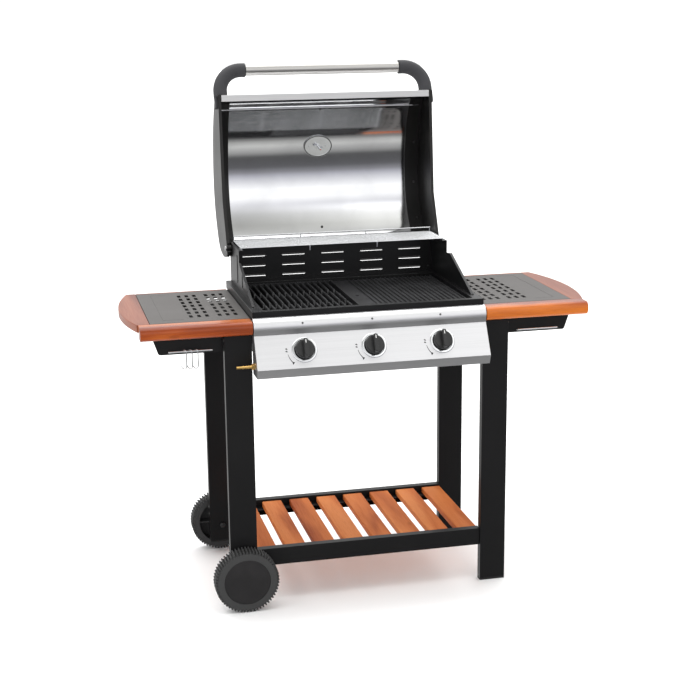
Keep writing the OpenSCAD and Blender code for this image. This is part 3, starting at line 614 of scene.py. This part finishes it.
SLAT_WOOD = Timber(
    "oiled_slats",
    pale=(0.66, 0.220, 0.066),
    middle=(0.53, 0.145, 0.036),
    deep=(0.30, 0.062, 0.015),
    along=Axis.Y,
    gloss=0.6,
    varnish=0.0,
    knots=0.75,
    specular=0.1,
)
RAIL_WOOD = Timber(
    "varnished_rail",
    pale=(0.52, 0.135, 0.014),
    middle=(0.27, 0.044, 0.004),
    deep=(0.085, 0.011, 0.002),
    along=Axis.X,
    gloss=0.28,
    varnish=0.35,
    knots=0.6,
    specular=0.2,
    ring_scale=60.0,
)
END_WOOD = Timber(
    "varnished_end",
    pale=(0.33, 0.115, 0.062),
    middle=(0.25, 0.076, 0.038),
    deep=(0.16, 0.040, 0.020),
    along=Axis.Y,
    gloss=0.38,
    varnish=0.15,
    knots=0.0,
    specular=0.22,
)


# ---------- mesh making ----------


# Points closer than this are one point, and faces that bend less than this are one face
WELD = 0.002 * MM
FLAT_DEG = 0.15

# Edges that bend more than the first angle are rounded, and those past the second stay sharp in the shading
CREASE_DEG = 32.0
SHARP_DEG = 40.0

# Thickness of printed and painted marks
PAINT = 0.15 * MM


def body_of(node: str) -> str:
    """Name of the body that a frame node belongs to."""
    return frame["nodes"][node]["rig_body"]


def add_piece(
    name: str, form: bmesh.types.BMesh, finish: Finish, host: str, stands_for_host: bool = False
) -> bpy.types.Object:
    """Turns a finished form into a piece that rides with a frame node.

    Args:
        name: The piece's name.
        form: Its mesh, in the frame's place; it is freed.
        finish: Its surface finish.
        host: The frame node whose body it shares.
        stands_for_host: Whether it replaces that node.

    Returns:
        The new object.
    """
    bmesh.ops.recalc_face_normals(form, faces=form.faces)
    mesh = bpy.data.meshes.new(name)
    form.to_mesh(mesh)
    form.free()
    mesh.shade_smooth()
    mesh.set_sharp_from_angle(angle=math.radians(SHARP_DEG))
    mesh.materials.append(finish.material())
    made = bpy.data.objects.new(name, mesh)
    bpy.context.scene.collection.objects.link(made)
    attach(made, body_of(host))
    if stands_for_host:
        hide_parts(host)
    return made


def form_of(node: str) -> bmesh.types.BMesh:
    """Reads a frame node's mesh and joins its triangles into flat faces.

    Args:
        node: The frame node.

    Returns:
        The form, in the frame's place.
    """
    form = bmesh.new()
    form.from_mesh(frame["nodes"][node].data)
    bmesh.ops.remove_doubles(form, verts=form.verts, dist=WELD)
    bmesh.ops.dissolve_limit(form, angle_limit=math.radians(FLAT_DEG), verts=form.verts, edges=form.edges)
    return form


def round_edges(form: bmesh.types.BMesh, radius: float, rings: int) -> None:
    """Rounds the creased edges of a form.

    Args:
        form: The form to change.
        radius: Radius of the rounding, in metres.
        rings: Number of faces across the rounding.
    """
    crease = math.radians(CREASE_DEG)
    edges = [e for e in form.edges if e.is_manifold and e.calc_face_angle() > crease]
    bmesh.ops.bevel(
        form, geom=edges, offset=radius, segments=rings, profile=0.5, affect="EDGES", clamp_overlap=True
    )


def tag_islands(made: bpy.types.Object) -> None:
    """Stores a number from 0 to 1 on each loose part of a piece, so that each has its own grain.

    Args:
        made: The piece, such as a row of slats.
    """
    mesh = made.data
    form = bmesh.new()
    form.from_mesh(mesh)
    form.verts.ensure_lookup_table()
    island = [-1] * len(form.verts)
    count = 0
    for start in form.verts:
        if island[start.index] >= 0:
            continue
        heap = [start]
        island[start.index] = count
        while heap:
            for edge in heap.pop().link_edges:
                for vert in edge.verts:
                    if island[vert.index] < 0:
                        island[vert.index] = count
                        heap.append(vert)
        count += 1
    form.free()
    first, stride = 0.31, 0.618034
    stored = mesh.attributes.new("plank", "FLOAT", "POINT")
    stored.data.foreach_set("value", [(first + i * stride) % 1.0 for i in island])


def refine(node: str, finish: Finish, radius: float, rings: int = 2) -> bpy.types.Object:
    """Makes the finished piece of a frame node: the same shape with rounded edges.

    Args:
        node: The frame node.
        finish: The piece's surface finish.
        radius: Radius of its edges, in metres.
        rings: Number of faces across an edge.

    Returns:
        The piece, which stands for the node.
    """
    form = form_of(node)
    round_edges(form, radius, rings)
    made = add_piece(f"{node}.piece", form, finish, node, True)
    made.modifiers.new("even_shading", "WEIGHTED_NORMAL").keep_sharp = True
    return made


def carve(node: str, wood: Timber, radius: float, rings: int = 2) -> bpy.types.Object:
    """Makes the finished piece of a wooden frame node, with each plank's own grain.

    Args:
        node: The frame node.
        wood: Its wood and varnish.
        radius: Radius of its edges, in metres.
        rings: Number of faces across an edge.

    Returns:
        The piece, which stands for the node.
    """
    made = refine(node, wood, radius, rings)
    tag_islands(made)
    return made


def dress(node: str, finish: Finish) -> bpy.types.Object:
    """Gives a frame node its finish and lets it show as it is.

    Args:
        node: The frame node.
        finish: Its surface finish.

    Returns:
        The frame's own object.
    """
    shown = frame["nodes"][node]
    shown.data.materials.clear()
    shown.data.materials.append(finish.material())
    return shown


def curve_through(points: Sequence[Vector], steps: int) -> list[Vector]:
    """Smooth curve through points.

    Args:
        points: The points, in order.
        steps: Number of chords between two points.

    Returns:
        The points of the smooth curve.
    """
    last = len(points) - 1
    out = []
    for i in range(last):
        a, b, c, d = (points[min(max(j, 0), last)] for j in (i - 1, i, i + 1, i + 2))
        for step in range(steps):
            s = step / steps
            square, cube = 2 * a - 5 * b + 4 * c - d, 3 * b - a - 3 * c + d
            out.append(0.5 * (2 * b + (c - a) * s + square * s**2 + cube * s**3))
    return out + [points[last]]


def sheet_edges(node: str) -> tuple[list[Vector], list[Vector], float]:
    """Reads the two edges of a bent sheet's end, in order, and its half width.

    Args:
        node: A frame node that is a sheet of even thickness, bent round the X axis.

    Returns:
        The points of one side, the points of the other side, and half the width along X.
    """
    form = form_of(node)
    end = max((f for f in form.faces if abs(f.normal.x) > 0.99), key=lambda f: len(f.verts))
    loop = [v.co.copy() for v in end.verts]
    half = abs(loop[0].x)
    gaps = sorted(range(len(loop)), key=lambda i: (loop[i] - loop[i - 1]).length)[:2]
    first, second = sorted(gaps)
    one = loop[first:second]
    other = loop[second:] + loop[:first]
    form.free()
    return one, list(reversed(other)), half


def full_turn(steps: int) -> list[float]:
    """Angles of one whole turn in even steps, in radians, from 0 to the full turn."""
    return [2 * math.pi * k / steps for k in range(steps + 1)]


def add_strip(form: bmesh.types.BMesh, left: Sequence[Vector], right: Sequence[Vector]) -> None:
    """Adds a row of faces between two lines of points to a form.

    Args:
        form: The form to add to.
        left: Points of one line, in order.
        right: As many points of the other line.
    """
    rows = [[form.verts.new(p) for p in line] for line in (left, right)]
    for i in range(len(left) - 1):
        form.faces.new((rows[0][i], rows[0][i + 1], rows[1][i + 1], rows[1][i]))


def add_sweep(form: bmesh.types.BMesh, line: Sequence[Vector], half: float) -> None:
    """Sweeps a line of points along the X axis from -half to half.

    Args:
        form: The form to add the swept faces to.
        line: The points, in order.
        half: Half of the width, in metres.
    """
    add_strip(form, *([Vector((x, p.y, p.z)) for p in line] for x in (-half, half)))


def add_rod(form: bmesh.types.BMesh, path: Sequence[Vector], radius: float, sides: int = 16) -> None:
    """Adds a round rod that follows a path to a form.

    Args:
        form: The form to add to.
        path: The middle line, in order.
        radius: Radius of the rod, in metres.
        sides: Number of faces round the rod.
    """
    rings = []
    for i, point in enumerate(path):
        ahead = (path[min(i + 1, len(path) - 1)] - path[max(i - 1, 0)]).normalized()
        side = ahead.orthogonal().normalized() if not rings else (side - side.project(ahead)).normalized()
        other = ahead.cross(side)
        ways = [math.cos(t) * side + math.sin(t) * other for t in full_turn(sides)[:-1]]
        rings.append([form.verts.new(point + radius * way) for way in ways])
    for near, far in zip(rings, rings[1:]):
        for k in range(sides):
            form.faces.new((near[k - 1], near[k], far[k], far[k - 1]))
    form.faces.new(rings[0])
    form.faces.new(list(reversed(rings[-1])))


@dataclass(frozen=True)
class Seat:
    """A round seat on a part: its middle, the way out of the face, and the way up along it."""

    middle: Vector
    out: Vector
    up: Vector

    def at(self, radius: float, turn_deg: float, height: float) -> Vector:
        """Finds a point over the seat.

        Args:
            radius: Distance from the middle line, in metres.
            turn_deg: Clockwise turn from the way up, seen from outside.
            height: Height over the middle along the way out, in metres.

        Returns:
            The point.
        """
        turn = math.radians(turn_deg)
        right = self.up.cross(self.out)
        return self.middle + radius * (math.cos(turn) * self.up + math.sin(turn) * right) + height * self.out


def seat_of(joint: str) -> Seat:
    """Finds the seat of a turning joint, with its way up towards +Z.

    Args:
        joint: The joint's name.

    Returns:
        The seat.
    """
    found = next(j for j in frame["record"]["behaviour"]["joints"] if j["name"] == joint)
    out = Vector(found["axis"]).normalized()
    top = Vector((0.0, 0.0, 1.0))
    up = (top - top.project(out)).normalized()
    return Seat(Vector(found["pos_m"]), out, up)


def face_height(node: str, seat: Seat, reach: float) -> float:
    """Measures how far a node rises over a seat.

    Args:
        node: The frame node.
        seat: The seat.
        reach: Only points this close to the seat's middle line count, in metres.

    Returns:
        Height of the highest point, in metres.
    """
    heights = []
    for vert in frame["nodes"][node].data.vertices:
        offset = vert.co - seat.middle
        height = offset.dot(seat.out)
        if (offset - height * seat.out).length < reach:
            heights.append(height)
    return max(heights)


def add_patch(form: bmesh.types.BMesh, outline: Sequence[Vector], out: Vector) -> None:
    """Adds a thin raised patch of paint: its top and its walls.

    Args:
        form: The form to add to.
        outline: Points of its edge, on the painted face.
        out: Way out of that face.
    """
    top = [form.verts.new(p + PAINT * out) for p in outline]
    low = [form.verts.new(p) for p in outline]
    form.faces.new(top)
    for k in range(len(top)):
        form.faces.new((top[k - 1], low[k - 1], low[k], top[k]))


# ---------- sub-assemblies ----------


SIDES = ("left", "right")
ENDS = ("front", "back")


@dataclass
class SubAssembly:
    """A group of pieces that are made together."""

    title: str

    def build(self) -> list[bpy.types.Object]:
        """Builds and dresses all pieces of the sub-assembly."""
        raise NotImplementedError


@dataclass
class Trolley(SubAssembly):
    """Legs, lower shelf and the angles that carry the firebox."""

    title: str = "trolley"
    leg_edge: float = 0.88 * MM
    fold: float = 0.9 * MM
    slat_edge: float = 0.6 * MM
    bolt_edge: float = 0.5 * MM
    screw_edge: float = 0.15 * MM

    def build(self) -> list[bpy.types.Object]:
        """Builds and dresses all pieces of the trolley.

        Returns:
            The pieces, in the order in which they are made.
        """
        made = [refine(f"leg_{end}_{side}", BLACK_STEEL, self.leg_edge, 3) for end in ENDS for side in SIDES]
        made += [refine(f"shelf_rail_{end}", BLACK_STEEL, self.fold) for end in ENDS]
        made.append(refine("firebox_bearers", BLACK_STEEL, self.fold))
        made.append(refine("leg_plugs", PLUG_BLACK, self.fold))
        made.append(carve("shelf_slats", SLAT_WOOD, self.slat_edge))
        made.append(refine("wheel_bolts", DARK_SCREW, self.bolt_edge))
        made.append(refine("frame_screws", DARK_SCREW, self.screw_edge))
        return made


@dataclass
class Wheels(SubAssembly):
    """The two ribbed wheels and their hub caps."""

    title: str = "wheels"
    rib_edge: float = 0.5 * MM
    cap_edge: float = 0.4 * MM

    def build(self) -> list[bpy.types.Object]:
        """Builds and dresses both wheels.

        Returns:
            The pieces, in the order in which they are made.
        """
        made = []
        for end in ENDS:
            made.append(refine(f"wheel_{end}", WHEEL_GREY, self.rib_edge))
            made.append(refine(f"hub_cap_{end}", HUB_GREY, self.cap_edge))
        return made


@dataclass
class Firebox(SubAssembly):
    """Tub, rim, side plates, back panel and what they hold."""

    title: str = "firebox"
    rim_edge: float = 1.1 * MM
    sheet_edge: float = 0.4 * MM

    def build(self) -> list[bpy.types.Object]:
        """Builds and dresses all pieces of the firebox.

        Returns:
            The pieces, in the order in which they are made.
        """
        made = [refine("firebox_rim", FIREBOX_BLACK, self.rim_edge, 3)]
        for node in ("firebox_tub", "side_plate_left", "side_plate_right", "back_panel", "flame_tamers"):
            made.append(refine(node, FIREBOX_BLACK, self.sheet_edge))
        made.append(refine("drip_tray", SHEET_ZINC, self.sheet_edge))
        made.append(dress("burners", SHEET_ZINC))
        made.append(dress("igniters", SPARK_CERAMIC))
        return made


@dataclass
class ControlPanel(SubAssembly):
    """Brushed fascia with knobs, and the gas train behind it.

    Points of a mark are a distance past the arc's radius and a turn in degrees.
    """

    title: str = "control panel"
    panel_edge: float = 0.5 * MM
    bezel_edge: float = 0.3 * MM
    knob_edge: float = 0.8 * MM
    tap_edge: float = 0.6 * MM
    hose_edge: float = 0.2 * MM
    arc_radius: float = 48 * MM
    arc_width: float = 2.6 * MM
    arc_deg: tuple[float, float] = (258.0, 222.0)
    arc_steps: int = 14
    arrow: tuple[tuple[float, float], ...] = ((-3.0 * MM, 0.0), (6.2 * MM, 0.0), (1.4 * MM, 8.5))
    flame: tuple[tuple[float, float], ...] = (
        (-1.0 * MM, -2.2),
        (4.4 * MM, -1.6),
        (6.4 * MM, 1.2),
        (2.4 * MM, 3.0),
    )
    flame_deg: tuple[float, float] = (268.0, 276.0)
    knob_reach: float = 24 * MM
    pointer_width: float = 2.2 * MM
    pointer_span: tuple[float, float] = (12 * MM, 21 * MM)

    def build(self) -> list[bpy.types.Object]:
        """Builds and dresses all pieces of the panel.

        Returns:
            The pieces, in the order in which they are made.
        """
        places = ("left", "middle", "right")
        made = [refine("control_panel", PANEL_STEEL, self.panel_edge)]
        made.append(refine("knob_bezels", BRIGHT_CHROME, self.bezel_edge))
        for place in places:
            made.append(refine(f"knob_{place}", KNOB_BLACK, self.knob_edge))
            made.append(dress(f"tap_plug_{place}", TURNED_BRASS))
        for place in places:
            made += [self.marks(place), self.pointer(place)]
        made.append(dress("manifold", DULL_ZINC))
        made.append(refine("gas_taps", TAP_CASTING, self.tap_edge))
        made.append(refine("hose_tail", TURNED_BRASS, self.hose_edge))
        return made

    def marks(self, place: str) -> bpy.types.Object:
        """Prints a low-to-high arc with an arrow and two flames beside a knob.

        Args:
            place: The knob's place on the panel.

        Returns:
            The printed marks.
        """
        seat = seat_of(f"{place}_tap_turn")
        face = face_height("control_panel", seat, self.arc_radius)
        form = bmesh.new()
        start, end = self.arc_deg
        inner, outer = [], []
        for i in range(self.arc_steps + 1):
            share = i / self.arc_steps
            turn = start + (end - start) * share
            inner.append(seat.at(self.arc_radius, turn, face))
            outer.append(seat.at(self.arc_radius + self.arc_width * (0.4 + 0.6 * share), turn, face))
        add_patch(form, outer + inner[::-1], seat.out)
        add_patch(form, [seat.at(self.arc_radius + r, end + t, face) for r, t in self.arrow], seat.out)
        for turn in self.flame_deg:
            add_patch(form, [seat.at(self.arc_radius + r, turn + t, face) for r, t in self.flame], seat.out)
        return add_piece(f"marks_{place}", form, PRINT_BLACK, "control_panel")

    def pointer(self, place: str) -> bpy.types.Object:
        """Paints the pointer on a knob.

        Args:
            place: The knob's place on the panel.

        Returns:
            The painted pointer.
        """
        knob = f"knob_{place}"
        seat = seat_of(f"{place}_tap_turn")
        top = face_height(knob, seat, self.knob_reach)
        form = bmesh.new()
        side = seat.up.cross(seat.out) * self.pointer_width / 2
        near, far = (seat.at(r, 0.0, top) for r in self.pointer_span)
        add_patch(form, [near - side, far - side, far + side, near + side], seat.out)
        return add_piece(f"pointer_{place}", form, PRINT_WHITE, knob)


@dataclass
class CookingSurface(SubAssembly):
    """Grate, griddle and warming rack."""

    title: str = "cooking surface"
    casting_edge: float = 0.7 * MM

    def build(self) -> list[bpy.types.Object]:
        """Builds and dresses the cooking plates and the rack.

        Returns:
            The pieces, in the order in which they are made.
        """
        made = [refine(node, IRON, self.casting_edge) for node in ("grate", "griddle")]
        made.append(dress("warming_rack", BRIGHT_CHROME))
        return made


@dataclass
class Lid(SubAssembly):
    """Polished hood with black end caps, handle and thermometer."""

    title: str = "lid"
    cap_edge: float = 0.6 * MM
    trim_edge: float = 0.4 * MM
    screw_edge: float = 0.15 * MM
    bend_steps: int = 4
    # Height of the stiffening bead with the lid open
    bead_z: float = 1.366
    bead_r: float = 2.6 * MM
    plate_half: tuple[float, float] = (43.5 * MM, 33.0 * MM)
    # Radius and depth of the dark ring round the oval plate, a painted shadow of the gap at its edge
    ring_r: float = 1.3 * MM
    ring_depth: float = 5.8 * MM
    card_r: float = 30.0 * MM
    card_hole_r: float = 2.4 * MM
    card_thickness: float = 0.1 * MM
    dial_floor: float = 4.0 * MM
    tick_out: float = 28.0 * MM
    tick_span_deg: float = 250.0
    ticks: int = 26
    collar_r: float = 1.2 * MM

    def build(self) -> list[bpy.types.Object]:
        """Builds and dresses all pieces of the lid.

        Returns:
            The pieces, in the order in which they are made.
        """
        made = [self.sheet(), self.bead(), self.painted_shadow_ring(), self.dial_card(), self.dial_face()]
        made += [refine(f"lid_cap_{side}", CAP_BLACK, self.cap_edge) for side in SIDES]
        made.append(refine("lid_trim", TRIM_STEEL, self.trim_edge))
        made.append(dress("handle_tube", TUBE_STEEL))
        made.append(dress("handle_elbows", ELBOW_GREY))
        made += [self.collar(side) for side in SIDES]
        made.append(dress("thermometer_case", BRIGHT_CHROME))
        made.append(dress("thermometer_needle", NEEDLE_RED))
        made.append(dress("thermometer_plate", BRIGHT_CHROME))
        made.append(dress("hinge_pins", DULL_ZINC))
        made.append(refine("lid_screws", DARK_SCREW, self.screw_edge))
        return made

    def sheet(self) -> bpy.types.Object:
        """Builds the bent sheet with a smooth bend.

        Returns:
            The sheet, which stands for the frame's own.
        """
        one, other, half = sheet_edges("lid_sheet")
        sides = [curve_through(side, self.bend_steps) for side in (one, other)]
        form = bmesh.new()
        for side in sides:
            add_sweep(form, side, half)
        for x in (-half, half):
            add_strip(form, *([Vector((x, p.y, p.z)) for p in side] for side in sides))
        for end in (0, -1):
            add_sweep(form, [side[end] for side in sides], half)
        bmesh.ops.remove_doubles(form, verts=form.verts, dist=WELD)
        return add_piece("lid_sheet.piece", form, LID_STEEL, "lid_sheet", True)

    def bead(self) -> bpy.types.Object:
        """Rolls the stiffening bead under the front edge of the sheet.

        Returns:
            The bead.
        """
        one, other, half = sheet_edges("lid_sheet")
        inner = min((one, other), key=lambda side: max(p.y for p in side))
        point = min(inner, key=lambda p: abs(p.z - self.bead_z))
        form = bmesh.new()
        path = [Vector((half * (-1 + i / 8), point.y - 0.6 * self.bead_r, point.z)) for i in range(17)]
        add_rod(form, path, self.bead_r)
        return add_piece("lid_bead", form, LID_STEEL, "lid_sheet")

    def collar(self, side: str) -> bpy.types.Object:
        """Rolls the dark collar where the handle tube enters an elbow.

        Args:
            side: Which of the two elbows.

        Returns:
            The collar.
        """
        tube = [v.co for v in frame["nodes"]["handle_tube"].data.vertices]
        middle = sum(tube, Vector()) / len(tube)
        radius = max(math.hypot(v.y - middle.y, v.z - middle.z) for v in tube)
        mouth = min(abs(v.co.x) for v in frame["nodes"]["handle_elbows"].data.vertices) - self.collar_r
        centre = Vector((-mouth if side == "left" else mouth, middle.y, middle.z))
        form = bmesh.new()
        path = [centre + radius * Vector((0.0, math.cos(t), math.sin(t))) for t in full_turn(48)]
        add_rod(form, path, self.collar_r, 10)
        return add_piece(f"collar_{side}", form, PLUG_BLACK, "handle_tube")

    def painted_shadow_ring(self) -> bpy.types.Object:
        """Rolls a dark ring round the oval plate inside the lid: painted shadow of the gap at the plate's
        edge.

        Returns:
            The ring.
        """
        seat = seat_of("needle_turn")
        centre = seat.middle - self.ring_depth * seat.out
        wide = self.plate_half[0] * seat.up.cross(seat.out)
        high = self.plate_half[1] * seat.up
        form = bmesh.new()
        path = [centre + math.cos(t) * wide + math.sin(t) * high for t in full_turn(64)]
        add_rod(form, path, self.ring_r, 8)
        # The ring is painted shadow and uses the black plug plastic
        return add_piece("painted_shadow_ring", form, PLUG_BLACK, "thermometer_plate")

    def dial_card(self) -> bpy.types.Object:
        """Lays the pale card on the floor of the thermometer.

        Returns:
            The card, a thin ring round the needle's spindle.
        """
        seat = seat_of("needle_turn")
        height = self.dial_floor - self.card_thickness
        form = bmesh.new()
        turns = [7.5 * i for i in range(48)] + [0.0]
        add_strip(form, *([seat.at(r, t, height) for t in turns] for r in (self.card_r, self.card_hole_r)))
        bmesh.ops.remove_doubles(form, verts=form.verts, dist=5 * WELD)
        bmesh.ops.solidify(form, geom=form.faces[:], thickness=self.card_thickness)
        return add_piece("dial_card", form, PRINT_WHITE, "thermometer_case")

    def dial_face(self) -> bpy.types.Object:
        """Prints plain ticks on the card, every fifth one longer and wider.

        Returns:
            The printed ticks.
        """
        seat = seat_of("needle_turn")
        height = self.dial_floor + self.card_thickness
        form = bmesh.new()
        for i in range(self.ticks):
            turn = self.tick_span_deg * (i / (self.ticks - 1) - 0.5)
            length, half_deg = (6.0 * MM, 1.6) if i % 5 == 0 else (3.0 * MM, 0.9)
            inner, outer = self.tick_out - length, self.tick_out
            edge = ((inner, -half_deg), (outer, -half_deg), (outer, half_deg), (inner, half_deg))
            add_patch(form, [seat.at(r, turn + t, height) for r, t in edge], seat.out)
        return add_piece("dial_ticks", form, PRINT_BLACK, "thermometer_case")


@dataclass
class SideShelves(SubAssembly):
    """Both side shelves with their wood, brackets, rails and hooks."""

    title: str = "side shelves"
    plate_edge: float = 0.6 * MM
    rail_edge: float = 1.6 * MM
    wood_edge: float = 2.5 * MM
    bracket_edge: float = 0.5 * MM

    def build(self) -> list[bpy.types.Object]:
        """Builds and dresses both shelves.

        Returns:
            The pieces, in the order in which they are made.
        """
        made = []
        for side in SIDES:
            made.append(refine(f"shelf_plate_{side}", SHELF_GREY, self.plate_edge))
            made.append(carve(f"wood_rail_{side}", RAIL_WOOD, self.rail_edge, 3))
        made += [carve(node, END_WOOD, self.wood_edge, 3) for node in ("wood_ends", "wood_back_strips")]
        made.append(refine("shelf_brackets", BLACK_STEEL, self.bracket_edge))
        made.append(dress("towel_rails", BRIGHT_CHROME))
        made += [dress(f"hook_{place}", BRIGHT_CHROME) for place in ("outer", "middle", "inner")]
        return made


# ---------- studio ----------


@dataclass
class Studio:
    """Camera, light, surroundings and floor."""

    eye: Point = (-0.9686, -4.1026, 1.7116)
    yaw_deg: float = -13.4505
    pitch_deg: float = -13.9435
    roll_deg: float = -0.5601
    lens_mm: float = 73.69
    sensor_mm: float = 36.0
    reach: float = 200.0
    floor_size: float = 60.0
    floor_white: float = 0.96
    white: float = 0.68
    glow: float = 1.6
    # A brighter patch high on the front right, and how its direction's X and Z bound it
    panel_glow: float = 2.4
    patch_left: tuple[float, float] = (0.15, 0.31)
    patch_low: tuple[float, float] = (0.5, 0.64)
    patch_high: tuple[float, float] = (0.8, 0.92)
    # Shade towards the front right, and where along X and -Y it comes on
    right_shade: float = 0.55
    shade_side: tuple[float, float] = (0.35, 0.95)
    shade_front: tuple[float, float] = (0.0, 0.3)
    # Where along -Y the bands in front take over from white
    bands_front: tuple[float, float] = (0.05, 0.3)
    overhead: float = 2.2
    overhead_deg: float = 70.0
    overhead_tilt_deg: Point = (-12.0, -10.0, 0.0)
    # Height of each band in front in degrees, its brightness, and its share of blue
    front: tuple[tuple[float, float, float], ...] = (
        (-90, 0.34, 1.0),
        (-56, 0.28, 1.0),
        (-46, 0.08, 1.0),
        (-34, 0.05, 1.0),
        (-29, 0.20, 0.97),
        (-26, 0.48, 0.97),
        (-24, 0.30, 0.98),
        (-20, 0.07, 1.02),
        (-15, 0.08, 1.05),
        (-11, 0.20, 1.08),
        (-5, 0.38, 1.10),
        (2, 0.62, 1.04),
        (8, 0.88, 1.0),
        (22, 0.88, 1.0),
        (31, 0.66, 1.03),
        (45, 0.42, 0.98),
        (56, 0.33, 0.95),
        (90, 0.62, 0.98),
    )

    def camera(self) -> None:
        """Makes the camera and hands it to the scene."""
        yaw, pitch, roll = (math.radians(a) for a in (self.yaw_deg, self.pitch_deg, self.roll_deg))
        ahead = Vector((-math.sin(yaw) * math.cos(pitch), math.cos(yaw) * math.cos(pitch), math.sin(pitch)))
        right = Vector((math.cos(yaw), math.sin(yaw), 0.0))
        up = right.cross(ahead)
        turn = Matrix.Rotation(roll, 3, ahead)
        right, up = turn.inverted() @ right, turn.inverted() @ up
        data = bpy.data.cameras.new("camera")
        data.lens = self.lens_mm
        data.sensor_width = self.sensor_mm
        data.clip_end = self.reach
        made = bpy.data.objects.new("camera", data)
        axes = Matrix((right, up, -ahead)).transposed().to_4x4()
        made.matrix_world = Matrix.Translation(self.eye) @ axes
        bpy.context.scene.collection.objects.link(made)
        bpy.context.scene.camera = made

    def floor(self) -> None:
        """Makes the plain pale floor."""
        form = bmesh.new()
        bmesh.ops.create_grid(form, x_segments=1, y_segments=1, size=self.floor_size / 2)
        mesh = bpy.data.meshes.new("floor")
        form.to_mesh(mesh)
        form.free()
        material = bpy.data.materials.new("floor")
        material.use_nodes = True
        shader = material.node_tree.nodes["Principled BSDF"]
        shader.inputs["Base Color"].default_value = (*(self.floor_white,) * 3, 1.0)
        shader.inputs["Roughness"].default_value = 0.6
        shader.inputs["Specular IOR Level"].default_value = 0.2
        mesh.materials.append(material)
        made = bpy.data.objects.new("floor", mesh)
        made.visible_glossy = False
        bpy.context.scene.collection.objects.link(made)

    def world(self) -> None:
        """Makes the surroundings: white behind and at the sides, bands of light and dark in front."""
        made = bpy.data.worlds.new("studio")
        bpy.context.scene.world = made
        made.use_nodes = True
        made.node_tree.nodes.clear()
        graph = Graph(made.node_tree)
        x, y, z = graph.parts(graph.node("ShaderNodeTexCoord", output="Generated"))
        bands = []
        for height_deg, grey, blue in self.front:
            bands.append((0.5 + 0.5 * math.sin(math.radians(height_deg)), (grey, grey, grey * blue)))
        front = graph.ramp(z * 0.5 + 0.5, bands)
        glow = graph.mix((0.0 - y).step(*self.bands_front), (self.white,) * 3, front)
        patch = z.step(*self.patch_low) * (1.0 - z.step(*self.patch_high)) * x.step(*self.patch_left)
        shade = x.step(*self.shade_side) * (0.0 - y).step(*self.shade_front) * self.right_shade
        strength = (self.glow + patch * self.panel_glow) * (1.0 - shade)
        background = graph.node("ShaderNodeBackground", inputs={"Color": glow, "Strength": strength})
        graph.close("ShaderNodeOutputWorld", background)

    def sun(self) -> None:
        """Makes the broad light from overhead."""
        data = bpy.data.lights.new("overhead", "SUN")
        data.energy = self.overhead
        data.angle = math.radians(self.overhead_deg)
        made = bpy.data.objects.new("overhead", data)
        made.rotation_euler = tuple(math.radians(a) for a in self.overhead_tilt_deg)
        bpy.context.scene.collection.objects.link(made)

    def build(self) -> None:
        """Builds the whole studio."""
        self.camera()
        self.floor()
        self.world()
        self.sun()
        bpy.context.scene.view_settings.view_transform = "Standard"


def main() -> None:
    """Builds every sub-assembly in order."""
    logging.basicConfig(level=logging.INFO, format="%(name)s: %(message)s")
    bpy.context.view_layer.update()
    Studio().build()
    assemblies: list[SubAssembly] = [
        Trolley(),
        Wheels(),
        Firebox(),
        ControlPanel(),
        CookingSurface(),
        Lid(),
        SideShelves(),
    ]
    for assembly in assemblies:
        for piece in assembly.build():
            log.info("%s: %s, %d faces", assembly.title, piece.name, len(piece.data.polygons))


if __name__ == "__main__":
    main()
